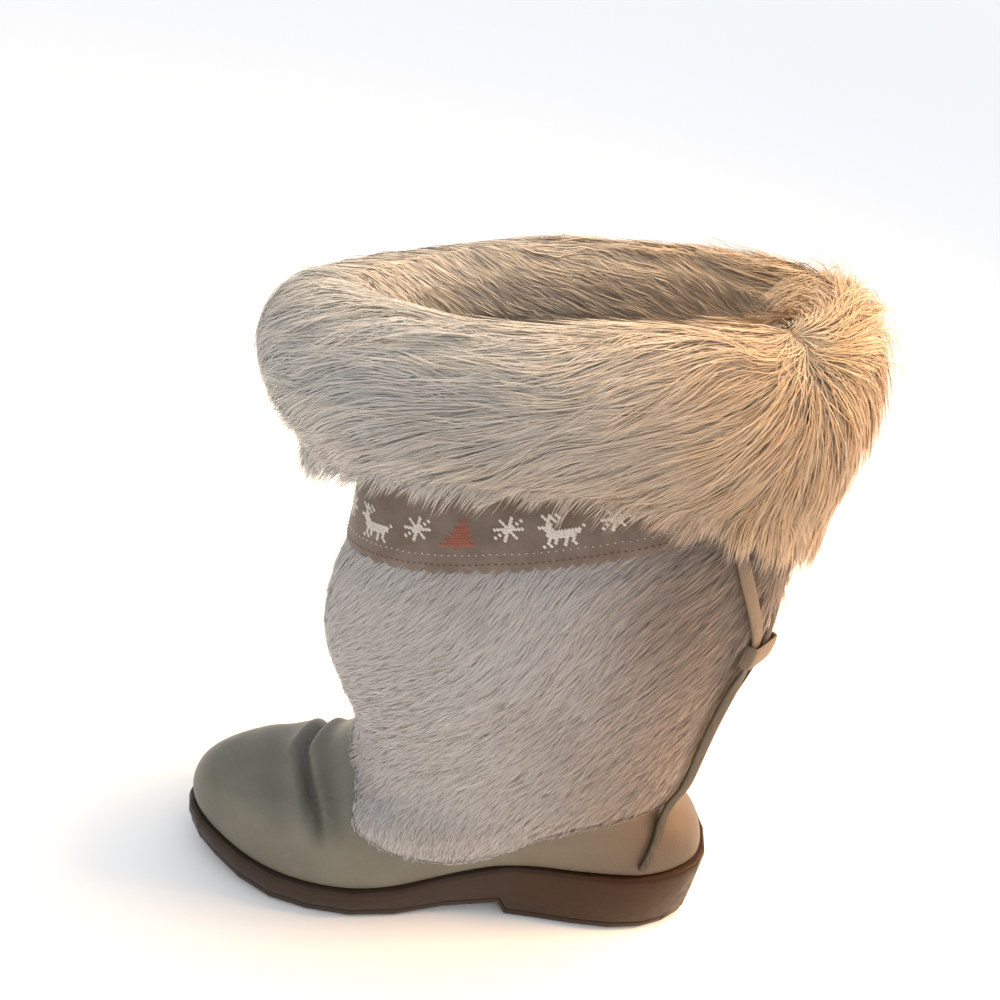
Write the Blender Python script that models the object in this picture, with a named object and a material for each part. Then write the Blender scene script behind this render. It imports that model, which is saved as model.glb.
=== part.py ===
"""A tall fur apres-ski boot for the left foot, as separate pieces.

The toe points to -X, the heel to +X, the outer side of the foot to -Y and the
shaft to +Z. The origin is on the floor, under the middle of the sole. Sizes are
in millimetres and become metres where a mesh is made.

The upper is one surface, read at a level and an angle. The level is a row of
UPPER_RINGS, from the feather edge on the sole to the rim of the shaft, and may
lie between rows. The angle is 0 at the toe, half a turn at the heel, and passes
over the outer side first. Every layer on the shaft is the upper's own surface
moved out by that layer's thickness.
"""

import bmesh
import bpy
import numpy as np

MM = 0.001
CLEAR = 0.3
# Edges sharper than this many degrees are shaded as edges
SHARP_ANGLE = 40.0
# Small step of an angle or a level, for reading slopes
SLOPE_STEP = 0.02

SOLE_LENGTH = 285.0
TOE_X = -SOLE_LENGTH / 2
HEEL_X = SOLE_LENGTH / 2

BREAST_TOP_X = 29.0
BREAST_FOOT_X = 34.0
# Stations nearer to the heel breast than this angle give way to it
BREAST_ROOM = 0.035

# Plan of the sole: x, half breadth on the outer side, half breadth on the inner side
SOLE_OUTLINE = (
    (-123, 28.5, 32.0),
    (-98, 44.0, 45.5),
    (-64, 51.6, 50.0),
    (-41, 51.8, 48.5),
    (-11, 46.0, 41.5),
    (22, 41.0, 35.0),
    (50, 41.5, 36.0),
    (75, 43.0, 39.5),
    (104, 41.5, 40.0),
    (121, 35.5, 35.0),
    (135, 26.0, 26.0),
    (141, 13.5, 13.5),
)

BALL_OUTER = max(row[1] for row in SOLE_OUTLINE)
BALL_INNER = max(row[2] for row in SOLE_OUTLINE)

# Side view of the sole: x, height of the tread, height of the top edge
SOLE_PROFILE = (
    (TOE_X, 13.0, 27.5),
    (-123, 7.0, 23.0),
    (-100, 2.0, 19.3),
    (-80, 0.0, 17.6),
    (-55, 0.0, 17.0),
    (-30, 0.0, 19.0),
    (0, 4.5, 28.2),
    (20, 7.2, 35.0),
    (BREAST_TOP_X, 8.0, 36.6),
    (BREAST_FOOT_X, 0.0, 37.3),
    (94, 0.0, 39.3),
    (122, 0.0, 40.8),
    (HEEL_X, 3.0, 43.0),
)

# Edge of the sole from the tread up: inset from the outline, height above the
# tread, height below the top edge. One of the two heights is None.
SOLE_EDGE = (
    (3.4, 0.0, None),
    (1.7, 1.9, None),
    (1.2, 5.4, None),
    (2.2, 6.2, None),
    (0.4, 7.4, None),
    (0.0, None, 5.0),
    (0.7, None, 1.4),
    (2.2, None, 0.0),
)

FEATHER_INSET = 3.2
WALL = 2.5
INSOLE_THICK = 4.0
INSOLE_GAP = 0.7
INSOLE_MARGIN = 1.8

# The upper's outer surface: x and z at the front, x and z at the back, half
# breadth on the outer side and the inner side, roundness of the front half and
# the back half, and how far the ring still follows the sole.
UPPER_RINGS = (
    (-139.3, 27.8, 139.3, 43.3, 50.5, 50.0, 2.4, 2.4, 1.00),
    (-141.4, 33.5, 138.4, 49.0, 51.2, 50.4, 2.4, 2.4, 0.86),
    (-141.0, 41.0, 132.6, 55.5, 49.8, 49.0, 2.4, 2.4, 0.68),
    (-137.3, 49.0, 126.2, 61.5, 47.2, 46.0, 2.35, 2.35, 0.46),
    (-128.3, 55.0, 121.2, 66.5, 44.2, 43.0, 2.25, 2.3, 0.28),
    (-114.5, 58.5, 118.4, 71.0, 42.0, 40.8, 2.1, 2.25, 0.15),
    (-98.5, 61.8, 116.4, 75.5, 40.6, 39.6, 2.05, 2.25, 0.07),
    (-83.0, 66.2, 115.4, 80.5, 39.9, 39.3, 2.05, 2.2, 0.02),
    (-70.0, 72.0, 114.9, 86.5, 39.8, 39.4, 2.1, 2.2, 0.0),
    (-60.5, 80.5, 114.7, 94.0, 40.1, 39.9, 2.15, 2.2, 0.0),
    (-55.6, 92.0, 114.7, 103.5, 40.8, 40.8, 2.2, 2.2, 0.0),
    (-57.0, 106.5, 115.2, 115.0, 41.8, 41.8, 2.2, 2.2, 0.0),
    (-66.5, 124.0, 116.2, 129.0, 43.2, 43.2, 2.2, 2.2, 0.0),
    (-75.8, 144.0, 117.8, 146.0, 44.8, 44.8, 2.2, 2.2, 0.0),
    (-78.6, 165.0, 119.8, 165.0, 46.0, 46.0, 2.2, 2.2, 0.0),
    (-75.0, 184.0, 121.9, 184.5, 46.8, 47.0, 2.2, 2.2, 0.0),
    (-71.6, 206.0, 123.2, 207.0, 47.2, 48.0, 2.2, 2.2, 0.0),
    (-72.6, 233.0, 122.6, 234.0, 47.0, 49.2, 2.2, 2.2, 0.0),
    (-78.0, 262.0, 120.2, 264.0, 46.6, 50.6, 2.2, 2.2, 0.0),
    (-84.0, 291.0, 117.4, 297.0, 46.0, 52.2, 2.2, 2.2, 0.0),
    (-88.0, 318.0, 113.2, 331.0, 45.4, 54.0, 2.2, 2.2, 0.0),
)
RIM_LEVEL = len(UPPER_RINGS) - 1
STATIONS = 36

# Lower edge of the fur on the foot: angle from the front in degrees, height
FUR_LOWER_EDGE = (
    (0, 81),
    (20, 77),
    (36, 71.5),
    (50, 65),
    (62, 57),
    (70, 50),
    (78, 42),
    (87, 38),
    (96, 42),
    (108, 58),
    (124, 70),
    (144, 74),
    (180, 76),
)
FUR_EDGE_THICK = 1.4
FUR_THICK = 5.8
FUR_TUCKED_THICK = 2.6
FUR_SWELL = 22.0
FUR_TUCK = 9.0
# How far below the band's edge the fur starts to be pressed flat
FUR_TUCK_LEAD = 1.0
FUR_GAP = 0.8
# Levels nearer than this to one another are left out of a layer
LEAST_STEP = 0.3

# Lower edge of the band: angle from the front in degrees, height
BAND_LOWER_EDGE = (
    (0, 201),
    (45, 215),
    (70, 227),
    (98, 242),
    (122, 256),
    (150, 263),
    (180, 265),
)
BAND_TOP = 294.0
BAND_THICK = 1.7
BAND_OVER_FUR = 11.0
BAND_FLARE_HEIGHT = 20.0
# Least height from the row that ends the flare to the band's top
BAND_TOP_ROOM = 3.0

# The cuff's surface from inside the collar over the rim to its hanging edge:
# x and z at the front, x and z at the back, half breadth outer and inner side,
# how much higher the sides lie than the front and back, and the share by which
# the inner side narrows to the front.
CUFF_RINGS = (
    (-71.0, 288.0, 104.0, 306.0, 36.5, 44.0, 0.0, 0.0),
    (-64.0, 304.0, 95.0, 326.0, 33.0, 41.0, 0.0, 0.0),
    (-68.0, 317.5, 96.0, 343.0, 36.0, 45.0, 0.0, 0.0),
    (-84.0, 327.0, 106.0, 355.0, 47.0, 55.0, 0.0, 0.15),
    (-103.0, 325.0, 118.0, 353.0, 60.5, 62.0, 0.0, 0.35),
    (-116.0, 314.0, 127.0, 341.0, 69.5, 68.0, 0.0, 0.45),
    (-120.5, 298.0, 133.0, 322.0, 73.0, 71.0, 1.0, 0.45),
    (-117.0, 282.0, 136.0, 300.0, 72.5, 71.0, 5.0, 0.40),
    (-107.0, 268.0, 138.0, 276.0, 68.5, 68.5, 14.0, 0.30),
    (-97.0, 255.0, 136.0, 262.0, 63.5, 65.0, 24.0, 0.20),
)
CUFF_HANG_GAP = 9.3
CUFF_HANG_TOP = 298.0
CUFF_SEAT = 304.0
CUFF_ROUND = 2.25
CUFF_HEM_THICK = 3.0

# Rows of fur locks: share of the way down the cuff, number, length, half width,
# half thickness, how far the tip stands out, angle that turns them down, and
# how far they hang straight instead of following the cuff's surface
LOCK_ROWS = (
    (0.30, 8, 40.0, 11.0, 4.5, 2.0, 12.0, 0.6),
    (0.52, 9, 42.0, 11.0, 4.5, 0.5, 20.0, 0.5),
    (0.72, 10, 33.0, 10.5, 4.0, 1.0, 27.0, 0.3),
    (0.97, 22, 22.0, 12.0, 2.8, 2.5, 36.0, 1.0),
)
# Angle by which all rows are turned off the front
LOCK_TURN = 0.11
# How uneven the locks' lengths are, and the step of that from lock to lock and
# from row to row
LOCK_UNEVEN = 0.17
LOCK_STEP = 2.3
LOCK_ROW_STEP = 1.7
LOCK_SINK = 3.5
LOCK_SIDES = 4
# Share of a lock's length, share of its full width
LOCK_TAPER = (
    (0.0, 0.95),
    (0.35, 1.00),
    (0.72, 0.60),
)
# The crown, where the hair parts at the back of the rim
CROWN_ANGLE = 150.0
CROWN_SPREAD = 66.0
CROWN_ROW = 3.5
CROWN_LOCKS = 7
CROWN_LOCK_SIZE = (22.0, 8.0, 4.0)
CROWN_RISE = 0.75
# Angle from the front where the sides' hair starts to turn down to the crown,
# and how far it is turned down at the crown, both in degrees
CROWN_REACH = 95.0
CROWN_TURNED = 92.0

THONG_WIDTH = 6.4
THONG_THICK = 1.8
THONG_STEPS = 24
# Height over which a thong rises from the leather onto the fur
THONG_RAMP = 22.0
# How far below the band's edge a thong rises onto the band
THONG_STEP_UP = 4.0
KEEPER_FOOT = 184.0
KEEPER_TOP = 196.5
KEEPER_WALL = 1.5
KEEPER_SIDES = 16
# 1 is an oval sleeve, near 0 a square one
KEEPER_CORNER = 0.35
KEEPER_ROOM = 1.2
# Share of the keeper's height, share of its full wall
KEEPER_SHAPE = (
    (0.0, 0.7),
    (0.3, 1.0),
    (0.7, 1.0),
    (1.0, 0.7),
)
# Middle of the keeper, on the outer side of the back, and half the distance
# between the thongs inside it
KEEPER_Y = -26.0
THONG_BESIDE = 3.6
# Routes of the thongs from the sole to under the cuff: height, distance from
# the middle line of the outer and the inner one, lift off what lies under them
THONG_ROUTE = (
    (45.0, -37.0, 37.0, 1.0),
    (55.0, -33.0, 32.0, 1.0),
    (66.0, -29.8, 26.5, 1.2),
    (84.0, -29.5, 17.5, 1.2),
    (110.0, -30.0, 3.5, 1.3),
    (135.0, -30.5, -9.0, 1.6),
    (158.0, -30.6, -17.5, 2.1),
    (KEEPER_FOOT - 4, KEEPER_Y - THONG_BESIDE, KEEPER_Y + THONG_BESIDE, 2.7),
    (KEEPER_TOP + 4, KEEPER_Y - THONG_BESIDE, KEEPER_Y + THONG_BESIDE, 2.7),
    (212.0, -34.5, -18.5, 1.8),
    (230.0, -40.0, -10.5, 1.0),
    (249.0, -43.0, -2.0, 0.8),
    (262.0, -44.0, 3.5, 0.6),
)

GROOVE_DEPTH = 3.0
GROOVE_WIDTH = 4.5
GROOVE_MARGIN = 11.0
GROOVE_BEND = 5.0
FOREFOOT_GROOVES = (-112.0, -98.0, -84.0, -70.0, -56.0, -42.0, -28.0)
HEEL_GROOVES = (52.0, 68.0, 84.0, 100.0, 116.0)


def curve_through(knots, values):
    """A smooth curve through table values that never swings past them."""
    knots = np.asarray(knots, float)
    values = np.asarray(values, float)
    step = np.diff(knots)
    rise = np.diff(values) / step
    slope = np.zeros(len(values))
    slope[0] = rise[0]
    slope[-1] = rise[-1]
    for i in range(1, len(values) - 1):
        if rise[i - 1] * rise[i] > 0:
            before = 2 * step[i] + step[i - 1]
            after = step[i] + 2 * step[i - 1]
            slope[i] = (before + after) / (before / rise[i - 1] + after / rise[i])

    def at(x):
        x = np.clip(x, knots[0], knots[-1])
        i = np.clip(np.searchsorted(knots, x, side="right") - 1, 0, len(step) - 1)
        s = (x - knots[i]) / step[i]
        start = values[i] * (1 + 2 * s) * (1 - s) ** 2
        end = values[i + 1] * s * s * (3 - 2 * s)
        lean = slope[i] * s * (1 - s) ** 2 - slope[i + 1] * s * s * (1 - s)
        return start + end + lean * step[i]

    return at


def columns(table):
    """The columns of a table as arrays."""
    return np.array(table, float).T


def ease(x):
    """A soft step from 0 to 1."""
    x = np.clip(x, 0, 1)
    return x * x * (3 - 2 * x)


def angles(count):
    """Even angles round the boot, as mirrored pairs."""
    return np.arange(count) * 2 * np.pi / count


def share_along(angle):
    """Share of a ring's length from its front, at an angle."""
    return (1 - np.cos(angle)) / 2


def on_outer_side(angle):
    """True on the outer side of the foot."""
    return np.sin(angle) >= 0


def outline_fullness(column):
    """The sole's half breadth over that of an ellipse of its length."""
    rows = columns(SOLE_OUTLINE)
    turn = np.arccos(np.clip(1 - 2 * (rows[0] - TOE_X) / SOLE_LENGTH, -1, 1))
    return curve_through(turn, rows[column] / np.sin(turn))


OUTER_FULLNESS = outline_fullness(1)
INNER_FULLNESS = outline_fullness(2)
TREAD_HEIGHT = curve_through(columns(SOLE_PROFILE)[0], columns(SOLE_PROFILE)[1])
TOP_HEIGHT = curve_through(columns(SOLE_PROFILE)[0], columns(SOLE_PROFILE)[2])


def outline_breadth(angle):
    """The sole's half breadth at an angle, positive on both sides."""
    turn = np.arccos(np.cos(angle))
    full = np.where(on_outer_side(angle), OUTER_FULLNESS(turn), INNER_FULLNESS(turn))
    return full * np.abs(np.sin(angle))


def outline(angle, inset):
    """Plan points of the sole's outline, moved in by an inset."""
    def plain(a):
        x = TOE_X + SOLE_LENGTH * share_along(a)
        y = -np.where(on_outer_side(a), 1, -1) * outline_breadth(a)
        return np.stack([x, y], axis=-1)

    ahead = plain(angle + SLOPE_STEP) - plain(angle - SLOPE_STEP)
    ahead /= np.linalg.norm(ahead, axis=-1, keepdims=True)
    inward = np.stack([-ahead[..., 1], ahead[..., 0]], axis=-1)
    return plain(angle) + inset * inward


def superellipse(angle, front_round, back_round):
    """Half breadth of a unit oval with its own roundness at front and back."""
    power = np.where(np.cos(angle) > 0, front_round, back_round)
    return np.maximum(1 - np.abs(np.cos(angle)) ** power, 0) ** (1 / power)


UPPER_COLUMNS = [
    curve_through(np.arange(RIM_LEVEL + 1), column) for column in columns(UPPER_RINGS)
]


def upper_point(level, angle):
    """Point of the upper's outer surface."""
    values = [column(level) for column in UPPER_COLUMNS]
    front_x, front_z, back_x, back_z, outer, inner, front_n, back_n, sole_share = values
    share = share_along(angle)
    x = front_x + (back_x - front_x) * share
    half = np.where(on_outer_side(angle), outer, inner)
    ball = np.where(on_outer_side(angle), BALL_OUTER, BALL_INNER)
    plan = outline(angle, FEATHER_INSET)
    like_sole = np.abs(plan[..., 1]) * half / ball
    oval = half * superellipse(angle, front_n, back_n)
    breadth = sole_share * like_sole + (1 - sole_share) * oval
    sole_x = TOE_X + SOLE_LENGTH * share
    straight = TOP_HEIGHT(TOE_X) + (TOP_HEIGHT(HEEL_X) - TOP_HEIGHT(TOE_X)) * share
    dip = TOP_HEIGHT(sole_x) - straight
    z = front_z + (back_z - front_z) * share + sole_share * dip
    y = np.where(on_outer_side(angle), -breadth, breadth)
    return np.stack(np.broadcast_arrays(x, y, z), axis=-1)


def outward(level, angle):
    """Unit normal of the upper's outer surface."""
    step = SLOPE_STEP
    level = np.clip(level, step, RIM_LEVEL - step)
    around = upper_point(level, angle + step) - upper_point(level, angle - step)
    rising = upper_point(level + step, angle) - upper_point(level - step, angle)
    normal = np.cross(around, rising)
    return normal / np.linalg.norm(normal, axis=-1, keepdims=True)


def layer_point(level, angle, distance):
    """Point at a distance out from the upper's faceted outer surface."""
    level = np.asarray(level, float)
    below = np.clip(np.floor(level), 0, RIM_LEVEL - 1)
    part = (level - below)[..., None]
    distance = np.asarray(distance, float)[..., None]
    low = upper_point(below, angle) + outward(below, angle) * distance
    high = upper_point(below + 1, angle) + outward(below + 1, angle) * distance
    return low * (1 - part) + high * part


def level_at(angle, height):
    """Level at which the faceted upper passes a height."""
    angle, height = np.broadcast_arrays(np.asarray(angle, float), height)
    rings = np.arange(RIM_LEVEL + 1)
    ring_heights = upper_point(rings[:, None], angle.reshape(1, -1))[..., 2].T
    levels = [np.interp(h, zs, rings) for h, zs in zip(height.ravel(), ring_heights)]
    return np.array(levels).reshape(angle.shape)


def edge_height(table, angle):
    """Height of an edge line of the shaft, the same on both sides."""
    turn, height = columns(table)
    return curve_through(turn, height)(np.degrees(np.arccos(np.cos(angle))))


def fur_thickness(height, angle):
    """Thickness of the fur sleeve: thin at both edges, full between."""
    above_edge = height - edge_height(FUR_LOWER_EDGE, angle)
    below_band = edge_height(BAND_LOWER_EDGE, angle) - height
    grown = FUR_EDGE_THICK + (FUR_THICK - FUR_EDGE_THICK) * ease(above_edge / FUR_SWELL)
    tucked = ease(1 - (below_band + FUR_TUCK_LEAD) / FUR_TUCK)
    return grown + (FUR_TUCKED_THICK - grown) * tucked


def cover_thickness(height, angle):
    """Distance from the upper's wall to the outside of fur or band."""
    onto_fur = ease(1 + (height - edge_height(FUR_LOWER_EDGE, angle)) / THONG_RAMP)
    fur = onto_fur * (FUR_GAP + fur_thickness(height, angle))
    above_band_edge = height - edge_height(BAND_LOWER_EDGE, angle)
    band = band_inside(above_band_edge) + BAND_THICK
    near_band = above_band_edge > -THONG_STEP_UP
    return np.where(near_band, np.maximum(fur, band), fur)


def band_inside(above_edge):
    """Distance from the wall to the band's inside: out over the fur, then in."""
    over_fur = FUR_GAP + FUR_TUCKED_THICK + 2 * CLEAR
    past_fur = above_edge - BAND_OVER_FUR
    return over_fur + (FUR_GAP - over_fur) * ease(past_fur / BAND_FLARE_HEIGHT)


def new_object(name, points, faces, material):
    """An object in the scene from points in millimetres."""
    mesh = bpy.data.meshes.new(name)
    mesh.from_pydata((np.asarray(points) * MM).tolist(), [], faces)
    mesh.materials.append(material)
    mesh.shade_smooth()
    mesh.set_sharp_from_angle(angle=np.radians(SHARP_ANGLE))
    mesh.update()
    piece = bpy.data.objects.new(name, mesh)
    bpy.context.scene.collection.objects.link(piece)
    return piece


def band_faces(rows, count, closed):
    """Quads between rows of points, each row a closed ring of count points."""
    faces = []
    last = rows if closed else rows - 1
    for row in range(last):
        here = row * count
        above = (row + 1) % rows * count
        for i in range(count):
            j = (i + 1) % count
            faces.append((here + i, here + j, above + j))
            faces.append((here + i, above + j, above + i))
    return faces


def zip_faces(left, right, left_start, right_start, flip):
    """Triangles between two upright columns of points with their own levels."""
    faces = []
    i = j = 0
    while i < len(left) - 1 or j < len(right) - 1:
        here, there = left_start + i, right_start + j
        left_next = left[i + 1] if i < len(left) - 1 else np.inf
        right_next = right[j + 1] if j < len(right) - 1 else np.inf
        if right_next <= left_next + 1e-6:
            faces.append((here, there, there + 1))
            j += 1
        else:
            faces.append((here, there, here + 1))
            i += 1
    return [face[::-1] for face in faces] if flip else faces


def layer_levels(low, high, extra):
    """Levels of one column of a layer: its edges, its own rows and the rings."""
    fixed = sorted([low, high, *extra])
    rings = [
        ring
        for ring in range(int(np.ceil(low)), int(np.floor(high)) + 1)
        if min(abs(ring - level) for level in fixed) > LEAST_STEP
    ]
    return sorted(fixed + rings)


def layer_object(name, heights, inside, outside, material):
    """A sleeve on the upper. heights gives a column's rows, lowest and highest
    first, and inside and outside its distances from the wall at a height."""
    points, faces, columns_made = [], [], []
    for angle in angles(STATIONS):
        rows = heights(angle)
        low, high, *extra = (float(level_at(angle, height)) for height in rows)
        levels = layer_levels(low, high, extra)
        columns_made.append((levels, len(points)))
        for distance_at in (outside, inside):
            for level in levels:
                height = layer_point(level, angle, 0.0)[2]
                points.append(layer_point(level, angle, distance_at(height, angle)))
    for i in range(STATIONS):
        left, left_start = columns_made[i]
        right, right_start = columns_made[(i + 1) % STATIONS]
        left_in, right_in = left_start + len(left), right_start + len(right)
        faces += zip_faces(left, right, left_start, right_start, False)
        faces += zip_faces(left, right, left_in, right_in, True)
        faces.append((left_start, left_in, right_in, right_start))
        tops = (left_in - 1, right_in - 1, right_in + len(right) - 1, left_in + len(left) - 1)
        faces.append(tops)
    return new_object(name, points, faces, material)


def cap_faces(start, count, facing_up):
    """Strips across a ring whose two sides hold mirrored stations."""
    faces = []
    for i in range(count // 2):
        far = (count - i) % count
        corners = [i, i + 1, count - i - 1, far]
        face = [start + c for c in dict.fromkeys(corners)]
        faces.append(tuple(face if facing_up else face[::-1]))
    return faces


def wall_object(name, rows, material):
    """A closed wall round the boot: rows go up outside and down inside."""
    count = len(rows[0])
    return new_object(name, np.concatenate(rows), band_faces(len(rows), count, True), material)


def slab_object(name, rows, material):
    """A solid from rings that go up, closed by strips at both ends."""
    count = len(rows[0])
    faces = band_faces(len(rows), count, False)
    faces += cap_faces(0, count, False)
    faces += cap_faces((len(rows) - 1) * count, count, True)
    return new_object(name, np.concatenate(rows), faces, material)


def finish_material(name, colour, roughness):
    """A plain finish: colour is sRGB from 0 to 1."""
    material = bpy.data.materials.new(name)
    material.use_nodes = True
    shader = material.node_tree.nodes["Principled BSDF"]
    linear = [c / 12.92 if c <= 0.04045 else ((c + 0.055) / 1.055) ** 2.4 for c in colour]
    shader.inputs["Base Color"].default_value = (*linear, 1)
    shader.inputs["Roughness"].default_value = roughness
    shader.inputs["Metallic"].default_value = 0
    material.diffuse_color = (*linear, 1)
    return material


def sole_angles():
    """Even angles with two more pairs at the heel breast."""
    breast = [
        np.arccos(1 - 2 * (x - TOE_X) / SOLE_LENGTH) for x in (BREAST_TOP_X, BREAST_FOOT_X)
    ]
    half = np.linspace(0, np.pi, STATIONS // 2 + 1)
    keep = [a for a in half if min(abs(a - b) for b in breast) > BREAST_ROOM]
    half = np.array(sorted(keep + breast))
    return np.concatenate([half, 2 * np.pi - half[-2:0:-1]])


def sole_ring(inset, above_tread, below_top):
    """One ring of the sole's edge."""
    plan = outline(sole_angles(), inset)
    if above_tread is None:
        z = TOP_HEIGHT(plan[:, 0]) - below_top
    else:
        z = TREAD_HEIGHT(plan[:, 0]) + above_tread
    return np.column_stack([plan, z])


def groove_cutter(centres):
    """Bent bars that cut the tread, as one hidden object."""
    points, faces = [], []
    for x in centres:
        turn = np.arccos(1 - 2 * (x - TOE_X) / SOLE_LENGTH)
        outer = OUTER_FULLNESS(turn) * np.sin(turn) - GROOVE_MARGIN
        inner = INNER_FULLNESS(turn) * np.sin(turn) - GROOVE_MARGIN
        floor = TREAD_HEIGHT(x)
        start = len(points)
        for y, bend in ((-outer, 0), ((inner - outer) / 2, -GROOVE_BEND), (inner, 0)):
            for side in (-1, 1):
                for z in (floor - GROOVE_DEPTH * 2, floor + GROOVE_DEPTH):
                    points.append((x + bend + side * GROOVE_WIDTH / 2, y, z))
        for low in (start, start + 4):
            for a, b in ((0, 1), (1, 3), (3, 2), (2, 0)):
                faces.append((low + a, low + b, low + 4 + b, low + 4 + a))
        faces.append((start, start + 2, start + 3, start + 1))
        faces.append((start + 8, start + 9, start + 11, start + 10))
    cutter = new_object("tread_cutter", points, faces, finish_material("cutter", (1, 0, 0), 1))
    recalculate_normals(cutter)
    hide_helper(cutter)
    return cutter


def recalculate_normals(piece):
    """Turn a closed mesh's faces to the outside."""
    shape = bmesh.new()
    shape.from_mesh(piece.data)
    bmesh.ops.recalc_face_normals(shape, faces=shape.faces)
    shape.to_mesh(piece.data)
    shape.free()


def hide_helper(piece):
    """Mark an object as a tool for shaping others."""
    piece.hide_render = True
    piece.display_type = "WIRE"


def make_outsole(rubber):
    """The moulded unit sole with its heel and tread grooves."""
    sole = slab_object("outsole", [sole_ring(*row) for row in SOLE_EDGE], rubber)
    cut = sole.modifiers.new("tread", "BOOLEAN")
    cut.operation = "DIFFERENCE"
    cut.solver = "EXACT"
    cut.object = groove_cutter(FOREFOOT_GROOVES + HEEL_GROOVES)
    return sole


def make_insole(board):
    """The insole on the sole's top, inside the upper's wall."""
    inset = FEATHER_INSET + WALL + INSOLE_MARGIN
    plan = outline(sole_angles(), inset)
    rows = []
    for rise in (INSOLE_GAP, INSOLE_GAP + INSOLE_THICK):
        rows.append(np.column_stack([plan, TOP_HEIGHT(plan[:, 0]) + rise]))
    return slab_object("insole", rows, board)


def feather_ring(inset):
    """Lower edge of the upper's wall, just above the sole."""
    plan = outline(angles(STATIONS), inset)
    return np.column_stack([plan, TOP_HEIGHT(plan[:, 0]) + INSOLE_GAP])


def make_upper(leather):
    """The leather foot and shaft, one hollow wall open at both ends."""
    turn = angles(STATIONS)
    levels = np.arange(1, RIM_LEVEL + 1)
    outside = [upper_point(level, turn) for level in levels]
    inside = [layer_point(level, turn, -WALL) for level in levels[::-1]]
    rows = [feather_ring(FEATHER_INSET)] + outside + inside
    rows.append(feather_ring(FEATHER_INSET + WALL))
    return wall_object("upper", rows, leather)


def make_fur_shaft(fur):
    """The short haired fur sleeve on the shaft."""
    def heights(angle):
        low = edge_height(FUR_LOWER_EDGE, angle)
        band = edge_height(BAND_LOWER_EDGE, angle)
        swell = (low + FUR_SWELL / 3, low + FUR_SWELL)
        return low, band + FUR_TUCK, *swell, band - FUR_TUCK, band - FUR_TUCK_LEAD

    def inside(height, angle):
        return FUR_GAP

    def outside(height, angle):
        return FUR_GAP + fur_thickness(height, angle)

    return layer_object("fur_shaft", heights, inside, outside, fur)


def make_band(suede):
    """The suede band, flared over the top of the fur."""
    def heights(angle):
        low = edge_height(BAND_LOWER_EDGE, angle)
        over_fur = low + BAND_OVER_FUR
        return low, BAND_TOP, over_fur, min(over_fur + BAND_FLARE_HEIGHT, BAND_TOP - BAND_TOP_ROOM)

    def inside(height, angle):
        return band_inside(height - edge_height(BAND_LOWER_EDGE, angle))

    def outside(height, angle):
        return inside(height, angle) + BAND_THICK

    return layer_object("band", heights, inside, outside, suede)


CUFF_COLUMNS = [
    curve_through(np.arange(len(CUFF_RINGS)), column) for column in columns(CUFF_RINGS)
]
CUFF_CREST = 3
CUFF_EDGE = len(CUFF_RINGS) - 1


def cuff_point(row, angle):
    """Point of the cuff's furry surface, at a row that may lie between rows."""
    values = [column(row) for column in CUFF_COLUMNS]
    front_x, front_z, back_x, back_z, outer, inner, side_lift, narrow = values
    share = share_along(angle)
    narrowed = inner * (1 - narrow * np.maximum(np.cos(angle), 0) ** 2)
    half = np.where(on_outer_side(angle), -outer, narrowed)
    x = front_x + (back_x - front_x) * share
    y = half * superellipse(angle, CUFF_ROUND, CUFF_ROUND)
    z = front_z + (back_z - front_z) * share + side_lift * np.sin(angle) ** 2
    return np.stack(np.broadcast_arrays(x, y, z), axis=-1)


def cuff_ring_body(fur):
    """The cuff without its locks: it folds over the wall and hangs clear of it."""
    turn = angles(STATIONS)
    furry = [cuff_point(row, turn) for row in range(len(CUFF_RINGS))]
    hem = cuff_point(CUFF_EDGE, turn)
    hem_level = level_at(turn, hem[:, 2] + CUFF_HEM_THICK)
    full = np.ones(STATIONS)
    channel = [
        layer_point(hem_level, turn, full * CUFF_HANG_GAP),
        layer_point(level_at(turn, CUFF_HANG_TOP), turn, full * CUFF_HANG_GAP),
        layer_point(level_at(turn, CUFF_SEAT), turn, full * CLEAR),
        layer_point(full * RIM_LEVEL, turn, full * CLEAR),
        layer_point(full * RIM_LEVEL, turn, full * -(WALL + FUR_GAP)),
        layer_point(level_at(turn, furry[0][:, 2]), turn, full * -(WALL + FUR_GAP)),
    ]
    for row in channel[3:5]:
        row[:, 2] += CLEAR * 2
    rows = (furry + channel)[::-1]
    return wall_object("cuff", rows, fur)


def lock_object(name, root, along, out, size, tip_out):
    """One lock of hair: a flat cone that grows out of the cuff."""
    length, half_width, half_thick = size
    across = np.cross(out, along)
    points = []
    for share, width in LOCK_TAPER:
        lift = -LOCK_SINK + (LOCK_SINK + tip_out) * share
        centre = root + along * length * share + out * lift
        for turn in np.arange(LOCK_SIDES) * 2 * np.pi / LOCK_SIDES:
            side = across * np.cos(turn) * half_width + out * np.sin(turn) * half_thick
            points.append(centre + side * width)
    points.append(root + along * length + out * tip_out)
    faces = band_faces(len(LOCK_TAPER), LOCK_SIDES, False)
    last = (len(LOCK_TAPER) - 1) * LOCK_SIDES
    for i in range(LOCK_SIDES):
        faces.append((last + i, last + (i + 1) % LOCK_SIDES, len(points) - 1))
    faces.append(tuple(range(LOCK_SIDES))[::-1])
    lock = new_object(name, points, faces, bpy.data.materials["long fur"])
    recalculate_normals(lock)
    hide_helper(lock)
    return lock


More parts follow.
